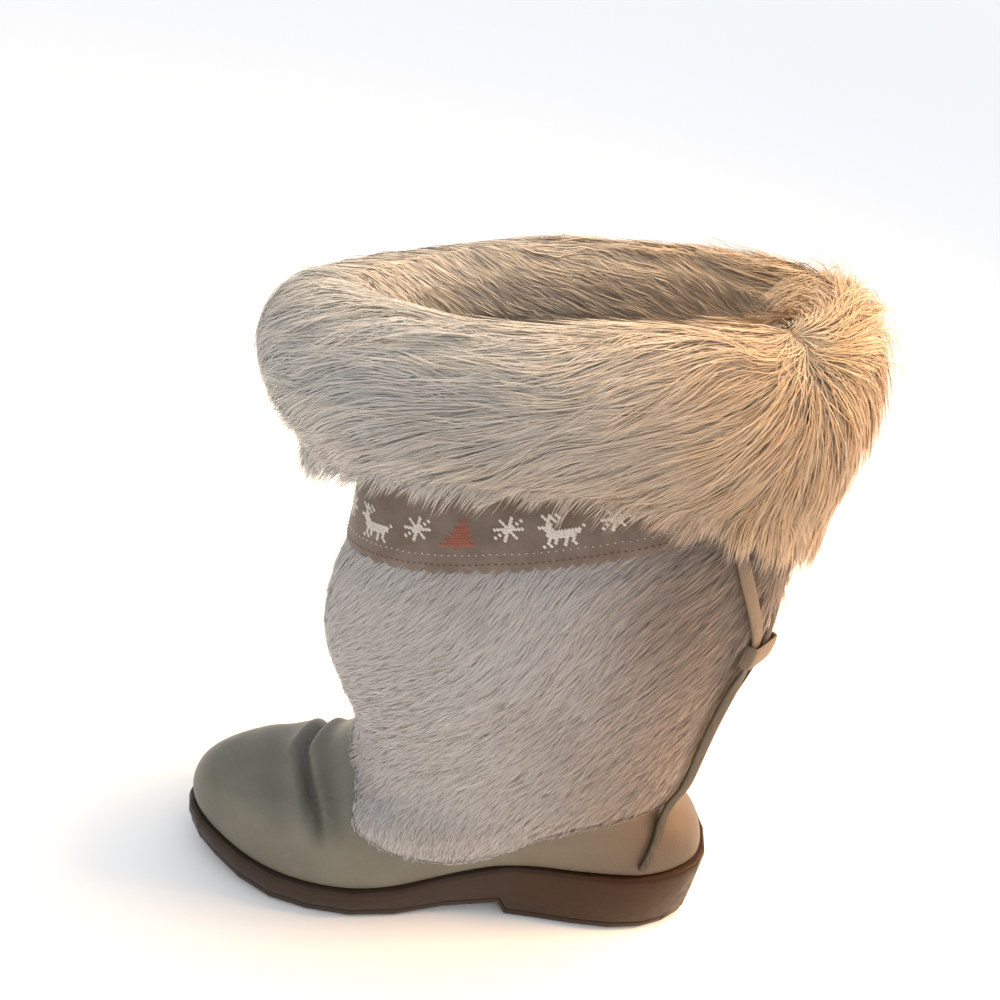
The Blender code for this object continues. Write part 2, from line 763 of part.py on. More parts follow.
def cuff_frame(row, angle):
    """Point of the cuff, its normal, the way to the front and the way down."""
    step = SLOPE_STEP
    point = cuff_point(row, angle)
    forward = cuff_point(row, angle - step) - cuff_point(row, angle + step)
    if np.sin(angle) < 0:
        forward = -forward
    down = cuff_point(row + step, angle) - cuff_point(row - step, angle)
    forward /= np.linalg.norm(forward)
    down /= np.linalg.norm(down)
    out = np.cross(forward, down)
    if np.sin(angle) < 0:
        out = -out
    return point, out / np.linalg.norm(out), forward, down


def lock_way(angle, turned_down, forward, down):
    """Direction of the hair: down at the back crown, forward along the sides."""
    from_front = np.degrees(np.arccos(np.cos(angle)))
    to_crown = ease((from_front - CROWN_REACH) / (CROWN_ANGLE - CROWN_REACH))
    tilt = np.radians(turned_down + (CROWN_TURNED - turned_down) * to_crown)
    way = forward * np.cos(tilt) + down * np.sin(tilt)
    return way / np.linalg.norm(way)


def uneven_length(length, row_number, number):
    """A lock's length, a little off the row's."""
    turn = LOCK_STEP * number + LOCK_ROW_STEP * row_number
    return length * (1 + LOCK_UNEVEN * np.sin(turn))


def make_locks():
    """All locks of the cuff, in rows down its outside and on its crown."""
    locks = []
    for row_number, row in enumerate(LOCK_ROWS):
        way_down, count, length, half_width, half_thick, tip_out, turned, hang = row
        level = CUFF_CREST + (CUFF_EDGE - CUFF_CREST) * way_down
        for i in range(count):
            angle = (i + row_number % 2 / 2) * 2 * np.pi / count + LOCK_TURN
            point, out, forward, down = cuff_frame(level, angle)
            down = down * (1 - hang) + np.array([0, 0, -1]) * hang
            way = lock_way(angle, turned, forward, down)
            out -= way * np.dot(out, way)
            out /= np.linalg.norm(out)
            size = (uneven_length(length, row_number, i), half_width, half_thick)
            name = f"lock_{row_number}_{i}"
            locks.append(lock_object(name, point, way, out, size, tip_out))
    for i in range(CROWN_LOCKS):
        angle = np.radians(CROWN_ANGLE + CROWN_SPREAD * i / (CROWN_LOCKS - 1))
        point = cuff_point(CROWN_ROW, angle)
        way = np.array([-np.cos(angle), -np.sin(angle), CROWN_RISE])
        way /= np.linalg.norm(way)
        out = np.array([0, 0, 1.0])
        out -= way * way[2]
        out /= np.linalg.norm(out)
        length, half_width, half_thick = CROWN_LOCK_SIZE
        size = (uneven_length(length, len(LOCK_ROWS), i), half_width, half_thick)
        locks.append(lock_object(f"crown_lock_{i}", point, way, out, size, 0.0))
    return locks


def make_cuff(fur):
    """The deep fur cuff with its locks fused on."""
    cuff = cuff_ring_body(fur)
    group = bpy.data.collections.new("cuff locks")
    bpy.context.scene.collection.children.link(group)
    for lock in make_locks():
        bpy.context.scene.collection.objects.unlink(lock)
        group.objects.link(lock)
    fuse = cuff.modifiers.new("locks", "BOOLEAN")
    fuse.operation = "UNION"
    fuse.solver = "EXACT"
    fuse.operand_type = "COLLECTION"
    fuse.collection = group
    return cuff


def back_angle(height, y):
    """Angle on the back of the covered shaft at a distance from its middle line."""
    turn = np.linspace(np.pi / 2, np.pi * 3 / 2, 8 * STATIONS)
    points = layer_point(level_at(turn, height), turn, cover_thickness(height, turn))
    return float(np.interp(y, points[:, 1], turn))


def thong_place(height, column):
    """Middle of a thong at a height and the way out of the shaft there."""
    route = columns(THONG_ROUTE)
    angle = back_angle(height, curve_through(route[0], route[column])(height))
    lift = curve_through(route[0], route[-1])(height)
    level = level_at(angle, height)
    away = cover_thickness(height, angle) + lift + THONG_THICK / 2
    return layer_point(level, angle, away), outward(level, angle)


def make_thong(name, column, leather):
    """A flat thong from the sole to the cuff; column is its own in THONG_ROUTE."""
    heights = np.linspace(THONG_ROUTE[0][0], THONG_ROUTE[-1][0], THONG_STEPS)
    places = [thong_place(height, column) for height in heights]
    centres, normals = (np.array(values) for values in zip(*places))
    along = np.gradient(centres, axis=0)
    across = np.cross(along, normals)
    across /= np.linalg.norm(across, axis=1, keepdims=True)
    up = np.cross(across, along)
    up /= np.linalg.norm(up, axis=1, keepdims=True)
    corners = ((-1, -1), (1, -1), (1, 1), (-1, 1))
    rows = []
    for centre, a, n in zip(centres, across * THONG_WIDTH / 2, up * THONG_THICK / 2):
        rows.append([centre + a * u + n * v for u, v in corners])
    faces = band_faces(len(rows), 4, False)
    faces += [(3, 2, 1, 0), tuple(len(rows) * 4 - 4 + i for i in range(4))]
    thong = new_object(name, np.concatenate(rows), faces, leather)
    recalculate_normals(thong)
    return thong


def keeper_ring(height, wall):
    """A rounded rectangle round both thongs at a height, with room for them."""
    left, right = thong_place(height, 1)[0], thong_place(height, 2)[0]
    middle = (left + right) / 2
    wide_x, wide_y, _ = (right - left) / np.linalg.norm(right - left)
    half_wide = (np.linalg.norm(right - left) + THONG_WIDTH) / 2 + KEEPER_ROOM + wall
    half_deep = THONG_THICK / 2 + KEEPER_ROOM + wall
    turn = np.arange(KEEPER_SIDES) * 2 * np.pi / KEEPER_SIDES
    deep = half_deep * np.sign(np.cos(turn)) * np.abs(np.cos(turn)) ** KEEPER_CORNER
    wide = half_wide * np.sign(np.sin(turn)) * np.abs(np.sin(turn)) ** KEEPER_CORNER
    x = middle[0] + wide_x * wide + wide_y * deep
    y = middle[1] + wide_y * wide - wide_x * deep
    return np.column_stack([x, y, np.full(KEEPER_SIDES, height)])


def make_keeper(leather):
    """The leather sleeve that holds the two thongs together."""
    rows = []
    for share, swell in KEEPER_SHAPE:
        height = KEEPER_FOOT + (KEEPER_TOP - KEEPER_FOOT) * share
        rows.append(keeper_ring(height, KEEPER_WALL * swell))
    rows += [keeper_ring(KEEPER_TOP, 0), keeper_ring(KEEPER_FOOT, 0)]
    return wall_object("keeper", rows, leather)


def main():
    """Build every piece of the boot."""
    for old in list(bpy.data.objects):
        bpy.data.objects.remove(old)
    rubber = finish_material("sole rubber", (0.24, 0.17, 0.12), 0.6)
    leather = finish_material("olive leather", (0.43, 0.44, 0.39), 0.45)
    board = finish_material("insole felt", (0.72, 0.66, 0.56), 0.9)
    short_fur = finish_material("short fur", (0.68, 0.64, 0.6), 0.8)
    long_fur = finish_material("long fur", (0.74, 0.62, 0.47), 0.75)
    suede = finish_material("band suede", (0.52, 0.45, 0.38), 0.9)
    thong_leather = finish_material("thong leather", (0.5, 0.42, 0.34), 0.6)
    make_outsole(rubber)
    make_insole(board)
    make_upper(leather)
    make_fur_shaft(short_fur)
    make_band(suede)
    make_cuff(long_fur)
    make_thong("thong_outer", 1, thong_leather)
    make_thong("thong_inner", 2, thong_leather)
    make_keeper(thong_leather)


main()
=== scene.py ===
"""Looks of a tall fur apres-ski boot for the left foot.

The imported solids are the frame. The toe points to -X, the heel to +X, the
outer side of the foot to -Y and the shaft to +Z. Sizes are in millimetres and
become metres where a mesh is made.
"""

import logging
import math
from dataclasses import dataclass
from enum import Enum
from typing import Callable, Iterable, Sequence

import bpy
import numpy as np
from mathutils import Matrix, Vector
from mathutils.bvhtree import BVHTree
from mathutils.kdtree import KDTree


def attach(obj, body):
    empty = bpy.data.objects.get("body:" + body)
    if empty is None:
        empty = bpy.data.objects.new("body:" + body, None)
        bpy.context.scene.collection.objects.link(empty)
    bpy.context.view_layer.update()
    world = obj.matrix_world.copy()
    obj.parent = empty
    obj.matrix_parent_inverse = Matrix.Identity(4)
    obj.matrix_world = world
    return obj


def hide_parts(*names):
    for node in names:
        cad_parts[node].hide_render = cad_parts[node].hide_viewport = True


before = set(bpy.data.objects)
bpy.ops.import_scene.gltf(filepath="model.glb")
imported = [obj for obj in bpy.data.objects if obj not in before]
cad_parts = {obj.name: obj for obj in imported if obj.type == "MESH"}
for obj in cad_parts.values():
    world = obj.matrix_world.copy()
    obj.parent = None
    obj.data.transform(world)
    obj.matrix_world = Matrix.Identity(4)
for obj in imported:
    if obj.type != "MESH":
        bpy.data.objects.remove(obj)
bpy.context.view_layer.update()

MM = 0.001
BODY = "root"
WELD = 0.02
FLAT_JOIN = 38.0
SHAPE_JOIN = 60.0
CLOUD_SPAN = 0.6
DARKEST_PATCH = 0.8
X, Y, Z = range(3)

log = logging.getLogger("boot")

Piece = bpy.types.Object
Socket = bpy.types.NodeSocket
Rows = np.ndarray
Colour = tuple[float, float, float]
Flow = Callable[[Rows, Rows], Rows]
Field = Callable[[Rows], Rows]


class Slot(Enum):
    """The record's material slots."""

    RUBBER = "sole_rubber"
    FELT = "insole_felt"
    LEATHER = "olive_leather"
    SHORT_FUR = "short_fur"
    SUEDE = "band_suede"
    LONG_FUR = "long_fur"
    THONG = "thong_leather"


# Small helpers for bpy.ops modelling


def deselect_all() -> None:
    """Leaves object mode with nothing selected."""
    if bpy.context.object and bpy.context.object.mode != "OBJECT":
        bpy.ops.object.mode_set(mode="OBJECT")
    bpy.ops.object.select_all(action="DESELECT")


def activate(piece: Piece) -> None:
    """Selects one object alone and makes it the active one."""
    deselect_all()
    piece.select_set(True)
    bpy.context.view_layer.objects.active = piece


def apply_modifier(piece: Piece, kind: str, **values: object) -> None:
    """Adds a modifier, sets it and applies it.

    Args:
        piece: object that gets the modifier.
        kind: Blender's name of the modifier type.
        values: the modifier's settings.
    """
    activate(piece)
    modifier = piece.modifiers.new(kind.lower(), kind)
    for name, value in values.items():
        setattr(modifier, name, value)
    bpy.ops.object.modifier_apply(modifier=modifier.name)


def copy_of_node(node: str, name: str) -> Piece:
    """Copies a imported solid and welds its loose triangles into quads.

    Args:
        node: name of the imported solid.
        name: name of the new piece.

    Returns:
        The new object, at the origin.
    """
    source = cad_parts[node]
    piece = bpy.data.objects.new(name, source.data.copy())
    piece.data.name = name
    bpy.context.scene.collection.objects.link(piece)
    piece.data.materials.clear()
    activate(piece)
    bpy.ops.object.mode_set(mode="EDIT")
    bpy.ops.mesh.select_all(action="SELECT")
    bpy.ops.mesh.customdata_custom_splitnormals_clear()
    bpy.ops.mesh.remove_doubles(threshold=WELD * MM)
    bpy.ops.mesh.tris_convert_to_quads(
        face_threshold=math.radians(FLAT_JOIN), shape_threshold=math.radians(SHAPE_JOIN)
    )
    bpy.ops.object.mode_set(mode="OBJECT")
    return piece


def link_mesh(mesh: bpy.types.Mesh) -> Piece:
    """Puts a mesh in the scene as an object of the same name."""
    piece = bpy.data.objects.new(mesh.name, mesh)
    bpy.context.scene.collection.objects.link(piece)
    return piece


def new_piece(name: str, points: Rows, faces: Sequence[tuple[int, ...]]) -> Piece:
    """Makes an object from points in millimetres and the faces between them."""
    mesh = bpy.data.meshes.new(name)
    mesh.from_pydata((points * MM).tolist(), [], faces)
    return link_mesh(mesh)


def ring_faces(rings: int, around: int) -> list[tuple[int, ...]]:
    """Faces between rings that follow each other, with the same number of points around."""
    faces = []
    for first in range(0, (rings - 1) * around, around):
        second = first + around
        for i in range(around):
            j = (i + 1) % around
            faces.append((first + i, second + i, second + j, first + j))
    return faces


def surface_tree(pieces: Iterable[Piece]) -> BVHTree:
    """The surfaces of some objects as one search tree, in millimetres."""
    points, faces = [], []
    for piece in pieces:
        start = len(points)
        points += [tuple(v.co / MM) for v in piece.data.vertices]
        faces += [tuple(start + v for v in face.vertices) for face in piece.data.polygons]
    return BVHTree.FromPolygons(points, faces)


def store_shade(mesh: bpy.types.Mesh, name: str, *channels: Rows) -> None:
    """Keeps up to three values of each point as a colour attribute."""
    shade = np.zeros((len(mesh.vertices), 4), dtype=np.float32)
    for index, values in enumerate(channels):
        shade[:, index] = values
    shade[:, 3] = 1.0
    layer = mesh.attributes.new(name, "FLOAT_COLOR", "POINT")
    layer.data.foreach_set("color", shade.ravel())


def read_points(piece: Piece) -> Rows:
    """The mesh's vertices in millimetres, one row each."""
    flat = np.empty(len(piece.data.vertices) * 3, dtype=np.float32)
    piece.data.vertices.foreach_get("co", flat)
    return flat.reshape(-1, 3).astype(float) / MM


def write_points(piece: Piece, points: Rows) -> None:
    """Moves the mesh's vertices to these places in millimetres."""
    piece.data.vertices.foreach_set("co", (points * MM).astype(np.float32).ravel())
    piece.data.update()


def read_normals(piece: Piece) -> Rows:
    """The mesh's vertex normals, one row each."""
    flat = np.empty(len(piece.data.vertices) * 3, dtype=np.float32)
    piece.data.vertex_normals.foreach_get("vector", flat)
    return flat.reshape(-1, 3).astype(float)


def smooth_by_angle(piece: Piece, degrees: float) -> None:
    """Shades a piece smooth, with edges sharper than the angle kept sharp."""
    activate(piece)
    bpy.ops.object.shade_smooth_by_angle(angle=math.radians(degrees))


@dataclass(frozen=True)
class RoundEdges:
    """Rounds edges sharper than one angle and shades those below another smooth."""

    width: float
    sharp: float
    smooth: float

    def __call__(self, piece: Piece) -> None:
        """Rounds the edges of a piece."""
        apply_modifier(piece, "BEVEL", width=self.width * MM, segments=2, limit_method="ANGLE",
                       angle_limit=math.radians(self.sharp))
        smooth_by_angle(piece, self.smooth)


def unit(rows: Rows) -> Rows:
    """Each row at length one."""
    size = np.linalg.norm(rows, axis=-1, keepdims=True)
    return rows / np.maximum(size, 1e-9)


def ease(share: Rows) -> Rows:
    """A soft step from 0 to 1."""
    held = np.clip(share, 0.0, 1.0)
    return held * held * (3 - 2 * held)


def step(values: Rows, start: float, span: float) -> Rows:
    """A soft step from 0 where the values start to 1 after their span."""
    return ease((values - start) / span)


@dataclass(frozen=True)
class Fade:
    """A soft step along one axis, from 0 at its start to its size after its span."""

    axis: int
    start: float
    span: float
    size: float = 1.0

    def __call__(self, places: Rows) -> Rows:
        """How high the step is at each place."""
        return self.size * step(places[:, self.axis], self.start, self.span)


def bell(distance: Rows, width: float) -> Rows:
    """One at no distance, falling softly to zero over the width."""
    return np.exp(-((distance / width) ** 2))


@dataclass(frozen=True)
class Waves:
    """A smooth bumpy field, with its bumps about a pitch apart."""

    pitch: float
    seed: float
    size: float = 1.0

    def __call__(self, places: Rows) -> Rows:
        """The field at each place, between about its size below and above zero."""
        x, y, z = (places * (2 * math.pi / self.pitch)).T
        seed = self.seed
        first = np.sin(x * 0.83 + 1.7 * np.sin(z * 0.31 + seed) + seed)
        second = np.sin(z * 0.91 + 1.3 * np.sin(y * 0.47 - seed) + 2.1 * seed)
        third = np.sin((x + z) * 0.57 + y * 0.71 + 1.9 * seed)
        return self.size * ((first + second + third) / 3)

    def clouds(self, places: Rows, low: float) -> Rows:
        """Soft clouds where the field is above a low value."""
        return step(self(places), low, CLOUD_SPAN)


def finish_piece(piece: Piece, nodes: Sequence[str] = ()) -> None:
    """Tells the frame what a piece rides on and stands for."""
    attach(piece, BODY)
    if nodes:
        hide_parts(*nodes)
    log.info("%s: %d faces", piece.name, len(piece.data.polygons))


# Finishes


class NodeSheet:
    """A short way to lay out a material's nodes."""

    def __init__(self, name: str) -> None:
        """Starts a material with a Principled shader."""
        self.material = bpy.data.materials.new(name)
        self.material.use_nodes = True
        self.nodes = self.material.node_tree.nodes
        self.links = self.material.node_tree.links
        self.shader = self.nodes["Principled BSDF"]
        self.place = self.nodes.new("ShaderNodeTexCoord").outputs["Object"]

    def set(self, **values: object) -> None:
        """Sets the shader's own sockets; an underscore stands for a space."""
        for name, value in values.items():
            self.shader.inputs[name.replace("_", " ")].default_value = value

    def stretched(self, scale: Sequence[float], turn: Sequence[float] = (0, 0, 0)) -> Socket:
        """Object coordinates, turned in degrees and scaled."""
        node = self.nodes.new("ShaderNodeMapping")
        node.inputs["Rotation"].default_value = [math.radians(a) for a in turn]
        node.inputs["Scale"].default_value = scale
        self.links.new(self.place, node.inputs["Vector"])
        return node.outputs["Vector"]

    def noise(
        self, pitch: float, detail: float = 3.0, rough: float = 0.55, vector: Socket | None = None
    ) -> Socket:
        """Noise with bumps about pitch millimetres apart."""
        node = self.nodes.new("ShaderNodeTexNoise")
        node.inputs["Scale"].default_value = 1 / (pitch * MM)
        node.inputs["Detail"].default_value = detail
        node.inputs["Roughness"].default_value = rough
        self.links.new(vector or self.place, node.inputs["Vector"])
        return node.outputs["Fac"]

    def cells(self, pitch: float) -> Socket:
        """Distance to the edges of cells about pitch millimetres wide."""
        node = self.nodes.new("ShaderNodeTexVoronoi")
        node.feature = "DISTANCE_TO_EDGE"
        node.inputs["Scale"].default_value = 1 / (pitch * MM)
        self.links.new(self.place, node.inputs["Vector"])
        return node.outputs["Distance"]

    def span(
        self, value: Socket, low: float, high: float, to_low: float = 0.0, to_high: float = 1.0
    ) -> Socket:
        """Maps a value from one span to another, and holds it there."""
        node = self.nodes.new("ShaderNodeMapRange")
        node.interpolation_type = "SMOOTHSTEP"
        node.inputs["From Min"].default_value = low
        node.inputs["From Max"].default_value = high
        node.inputs["To Min"].default_value = to_low
        node.inputs["To Max"].default_value = to_high
        self.links.new(value, node.inputs["Value"])
        return node.outputs["Result"]

    def axis(self, letter: str) -> Socket:
        """One axis of the object coordinates, in metres."""
        node = self.nodes.new("ShaderNodeSeparateXYZ")
        self.links.new(self.place, node.inputs["Vector"])
        return node.outputs[letter]

    def attribute(self, name: str) -> tuple[Socket, ...]:
        """The three channels of a colour attribute."""
        node = self.nodes.new("ShaderNodeAttribute")
        node.attribute_name = name
        parts = self.nodes.new("ShaderNodeSeparateColor")
        self.links.new(node.outputs["Color"], parts.inputs["Color"])
        return tuple(parts.outputs)

    def maths(self, kind: str, first: object, second: object) -> Socket:
        """One math node on sockets or numbers."""
        node = self.nodes.new("ShaderNodeMath")
        node.operation = kind
        for slot, value in zip(node.inputs, (first, second)):
            if isinstance(value, (int, float)):
                slot.default_value = value
            else:
                self.links.new(value, slot)
        return node.outputs["Value"]

    def blend(self, share: object, first: object, second: object) -> Socket:
        """Mixes two colours, each a colour or a socket."""
        node = self.nodes.new("ShaderNodeMix")
        node.data_type = "RGBA"
        for slot, value in ((node.inputs[0], share), (node.inputs[6], first), (node.inputs[7], second)):
            if isinstance(value, Socket):
                self.links.new(value, slot)
            elif isinstance(value, (int, float)):
                slot.default_value = value
            else:
                slot.default_value = (*value, 1.0)
        return node.outputs[2]

    def colour(self, socket: Socket) -> None:
        """Gives the shader its colour."""
        self.links.new(socket, self.shader.inputs["Base Color"])

    def roughness(self, socket: Socket) -> None:
        """Gives the shader its roughness."""
        self.links.new(socket, self.shader.inputs["Roughness"])

    def bump(self, *layers: tuple[Socket, float]) -> None:
        """Stacks bumps; each layer is a height and its depth in millimetres."""
        last = None
        for height, depth in layers:
            node = self.nodes.new("ShaderNodeBump")
            node.inputs["Strength"].default_value = 1.0
            node.inputs["Distance"].default_value = depth * MM
            self.links.new(height, node.inputs["Height"])
            if last is not None:
                self.links.new(last, node.inputs["Normal"])
            last = node.outputs["Normal"]
        self.links.new(last, self.shader.inputs["Normal"])


@dataclass(frozen=True)
class Leather:
    """Smooth waxed leather of the foot."""

    olive: Colour = (0.116, 0.112, 0.082)
    pale: Colour = (0.155, 0.150, 0.114)
    tan: Colour = (0.125, 0.071, 0.033)
    # shade colours the grain lines and the painted shade.
    shade: Colour = (0.045, 0.040, 0.028)
    tan_from: float = 10.0
    tan_to: float = 125.0
    # dark_below and dark_to bound the painted shade low at the heel.
    dark_below: float = 44.0
    dark_to: float = 68.0
    cloud: float = 38.0
    dent: float = 9.0
    grain: float = 1.1
    pore: float = 0.5

    def material(self) -> bpy.types.Material:
        """Makes the leather, browner to the heel, with painted shade low at the heel and in its creases."""
        sheet = NodeSheet("olive_leather")
        cloud = sheet.noise(self.cloud, 4)
        body = sheet.blend(sheet.span(cloud, 0.35, 0.7), self.olive, self.pale)
        heel = sheet.span(sheet.axis("X"), self.tan_from * MM, self.tan_to * MM)
        body = sheet.blend(heel, body, self.tan)
        # Painted shade: darker low down towards the heel.
        low = sheet.span(sheet.axis("Z"), self.dark_below * MM, self.dark_to * MM, 0.6, 0.0)
        body = sheet.blend(sheet.maths("MULTIPLY", low, heel), body, self.shade)
        # Painted shade: darker where the creases are deepest.
        crease_shade = sheet.attribute("crease_shade")[0]
        body = sheet.blend(crease_shade, body, self.shade)
        grain = sheet.cells(self.grain)
        pores = sheet.noise(self.pore, 2)
        body = sheet.blend(sheet.span(grain, 0.0, 0.12, 0.16, 0.0), body, self.shade)
        sheet.colour(body)
        sheet.roughness(sheet.span(cloud, 0.3, 0.7, 0.40, 0.55))
        sheet.set(Coat_Weight=0.15, Coat_Roughness=0.35, Specular_IOR_Level=0.45)
        sheet.bump(
            (sheet.noise(self.dent, 3), 0.35),
            (sheet.span(grain, 0.0, 0.25), 0.07),
            (pores, 0.04),
        )
        return sheet.material


@dataclass(frozen=True)
class Suede:
    """Napped leather of the band."""

    nap: Colour = (0.130, 0.102, 0.084)
    worn: Colour = (0.178, 0.143, 0.120)
    dark: Colour = (0.10, 0.065, 0.045)
    brushed: float = 16.0
    dent: float = 5.0
    nap_pitch: float = 0.45

    def material(self) -> bpy.types.Material:
        """Makes suede with brushed patches and a fine nap."""
        sheet = NodeSheet("band_suede")
        brushed = sheet.noise(self.brushed, 4, 0.6)
        fine = sheet.noise(self.nap_pitch, 3, 0.7)
        body = sheet.blend(sheet.span(brushed, 0.35, 0.68), self.nap, self.worn)
        body = sheet.blend(sheet.span(fine, 0.38, 0.62, 0.35, 0.0), body, self.dark)
        sheet.colour(body)
        sheet.set(Roughness=0.86, Sheen_Weight=0.3, Sheen_Roughness=0.45, Specular_IOR_Level=0.2)
        sheet.bump((sheet.noise(self.dent, 3), 0.25), (fine, 0.10))
        return sheet.material


@dataclass(frozen=True)
class Rubber:
    """Moulded rubber of the sole."""

    brown: Colour = (0.040, 0.026, 0.018)
    warm: Colour = (0.032, 0.013, 0.004)
    # The scuffs and the painted sheen along the lower edge share this colour.
    dust_and_sheen: Colour = (0.058, 0.042, 0.030)
    warm_from: float = -10.0
    warm_to: float = 90.0
    sheen_full_below: float = 1.0
    sheen_gone_above: float = 7.0
    scuff: float = 7.0
    pebble: float = 1.4
    pore: float = 0.4

    def material(self) -> bpy.types.Material:
        """Makes satin rubber, dusty where scuffed, lighter along the lower edge by the floor as a painted
        sheen, redder at the heel.
        """
        sheet = NodeSheet("sole_rubber")
        heel = sheet.span(sheet.axis("X"), self.warm_from * MM, self.warm_to * MM)
        body = sheet.blend(heel, self.brown, self.warm)
        scuffs = sheet.noise(self.scuff, 5, 0.7)
        body = sheet.blend(sheet.span(scuffs, 0.56, 0.78, 0.0, 0.30), body, self.dust_and_sheen)
        # Painted sheen: the lower edge by the floor is lighter.
        low = sheet.span(sheet.axis("Z"), self.sheen_full_below * MM, self.sheen_gone_above * MM, 0.25, 0.0)
        body = sheet.blend(low, body, self.dust_and_sheen)
        sheet.colour(body)
        sheet.roughness(sheet.span(scuffs, 0.4, 0.8, 0.34, 0.58))
        sheet.set(Specular_IOR_Level=0.16)
        sheet.bump((sheet.noise(self.pebble, 2), 0.10), (sheet.noise(self.pore, 1), 0.03))
        return sheet.material


@dataclass(frozen=True)
class Felt:
    """Pressed wool of the insole and the shaft's lining."""

    wool: Colour = (0.46, 0.40, 0.31)
    lint: Colour = (0.60, 0.55, 0.46)
    tuft: float = 2.6
    fibre: float = 0.5

    def material(self) -> bpy.types.Material:
        """Makes a matted, fibrous felt."""
        sheet = NodeSheet("wool_felt")
        tufts = sheet.noise(self.tuft, 5, 0.7)
        body = sheet.blend(sheet.span(tufts, 0.35, 0.65), self.wool, self.lint)
        sheet.colour(body)
        sheet.set(Roughness=0.95, Sheen_Weight=0.3, Sheen_Roughness=0.6, Specular_IOR_Level=0.15)
        sheet.bump((tufts, 0.8), (sheet.noise(self.fibre, 2), 0.15))
        return sheet.material


@dataclass(frozen=True)
class ThongLeather:
    """Matt leather of the thongs and the keeper."""

    flat: Colour = (0.040, 0.033, 0.022)
    lit: Colour = (0.070, 0.055, 0.037)
    upper_lit: Colour = (0.21, 0.155, 0.11)
    crack: Colour = (0.05, 0.038, 0.028)
    dark_below: float = 180.0
    lit_above: float = 184.0
    streak: float = 1.6
    grain: float = 0.9

    def material(self) -> bpy.types.Material:
        """Makes leather drawn out along the strip, streaked with a painted lit tone, and paler from the
        keeper upwards as painted warm light.
        """
        sheet = NodeSheet("thong_leather")
        long_way = sheet.stretched((1, 1, 0.22))
        streak = sheet.noise(self.streak, 4, 0.65, long_way)
        # Painted light: the streaks mix a flat tone with a lit copy of it.
        body = sheet.blend(sheet.span(streak, 0.35, 0.65), self.flat, self.lit)
        # Painted warm light from the keeper upwards.
        above = sheet.span(sheet.axis("Z"), self.dark_below * MM, self.lit_above * MM)
        body = sheet.blend(sheet.maths("MULTIPLY", above, 0.8), body, self.upper_lit)
        body = sheet.blend(sheet.span(sheet.cells(self.grain), 0.0, 0.1, 0.3, 0.0), body, self.crack)
        sheet.colour(body)
        sheet.set(Roughness=0.62, Specular_IOR_Level=0.35)
        sheet.bump((streak, 0.18), (sheet.cells(self.grain), 0.05))
        return sheet.material


@dataclass(frozen=True)
class Thread:
    """Stitching thread of one colour."""

    name: str
    colour: Colour
    ply: float = 0.6
    shade: float = 0.6

    def material(self) -> bpy.types.Material:
        """Makes a twisted, slightly glossy thread."""
        sheet = NodeSheet(self.name)
        ply = sheet.noise(self.ply, 2, 0.6, sheet.stretched((1, 1, 2.2), (0, 35, 0)))
        # Painted shade: the thread is darker in the grooves between its plies.
        dark = tuple(c * self.shade for c in self.colour)
        sheet.colour(sheet.blend(sheet.span(ply, 0.35, 0.6), dark, self.colour))
        sheet.set(Roughness=0.5, Sheen_Weight=0.25, Sheen_Roughness=0.4, Specular_IOR_Level=0.4)
        sheet.bump((ply, 0.12))
        return sheet.material


@dataclass(frozen=True)
class Hair:
    """Hair whose strands carry the tone, the share of their length and the patch."""

    name: str
    root: Colour
    cool: Colour
    warm: Colour
    tip: Colour
    dark: Colour
    warm_from: float
    warm_to: float
    contrast: float

    def material(self) -> bpy.types.Material:
        """Makes hair that turns from cool to warm towards the heel, partly its own colour and partly painted
        warm light.
        """
        sheet = NodeSheet(self.name)
        tone, along, patch = sheet.attribute("hair")
        # The cool to warm turn is partly the hair's colour and partly painted warm light.
        side = sheet.span(sheet.axis("X"), self.warm_from * MM, self.warm_to * MM)
        body = sheet.blend(side, self.cool, self.warm)
        body = sheet.blend(sheet.span(along, 0.0, 0.45, 1.0, 0.0), body, self.root)
        pale = sheet.blend(side, self.tip, self.warm)
        pale = sheet.blend(0.5, pale, self.tip)
        body = sheet.blend(sheet.span(along, 0.6, 1.0, 0.0, 0.75), body, pale)
        body = sheet.blend(sheet.span(tone, 0.72, 1.0, 0.0, self.contrast), body, self.dark)
        body = sheet.blend(sheet.span(tone, 0.0, 0.22, 0.5, 0.0), body, pale)
        # The patch also carries the cuff's painted shade inside the collar.
        body = sheet.blend(patch, body, self.dark)
        sheet.colour(body)
        sheet.set(Roughness=0.5, Specular_IOR_Level=0.35, Sheen_Weight=0.2, Sheen_Roughness=0.5)
        return sheet.material


@dataclass(frozen=True)
class Hide:
    """The dense wool under the hair, drawn with streaks and browner to the heel, partly its own colour and
    partly painted warm light.
    """

    name: str
    light: Colour
    dark: Colour
    back: Colour
    turn: tuple[float, float, float]
    back_from: float
    back_to: float
    streak: float = 1.3

    def material(self) -> bpy.types.Material:
        """Makes a streaky surface that reads as packed hair."""
        sheet = NodeSheet(self.name)
        streak = sheet.noise(self.streak, 3, 0.7, sheet.stretched((1, 1, 0.15), self.turn))
        body = sheet.blend(sheet.span(streak, 0.3, 0.7), self.dark, self.light)
        # Browner to the heel: partly the wool's own colour and partly painted warm light.
        side = sheet.span(sheet.axis("X"), self.back_from * MM, self.back_to * MM)
        sheet.colour(sheet.blend(side, body, self.back))
        sheet.set(Roughness=0.9, Sheen_Weight=0.3, Sheen_Roughness=0.5, Specular_IOR_Level=0.1)
        sheet.bump((streak, 1.0))
        return sheet.material


# Hair

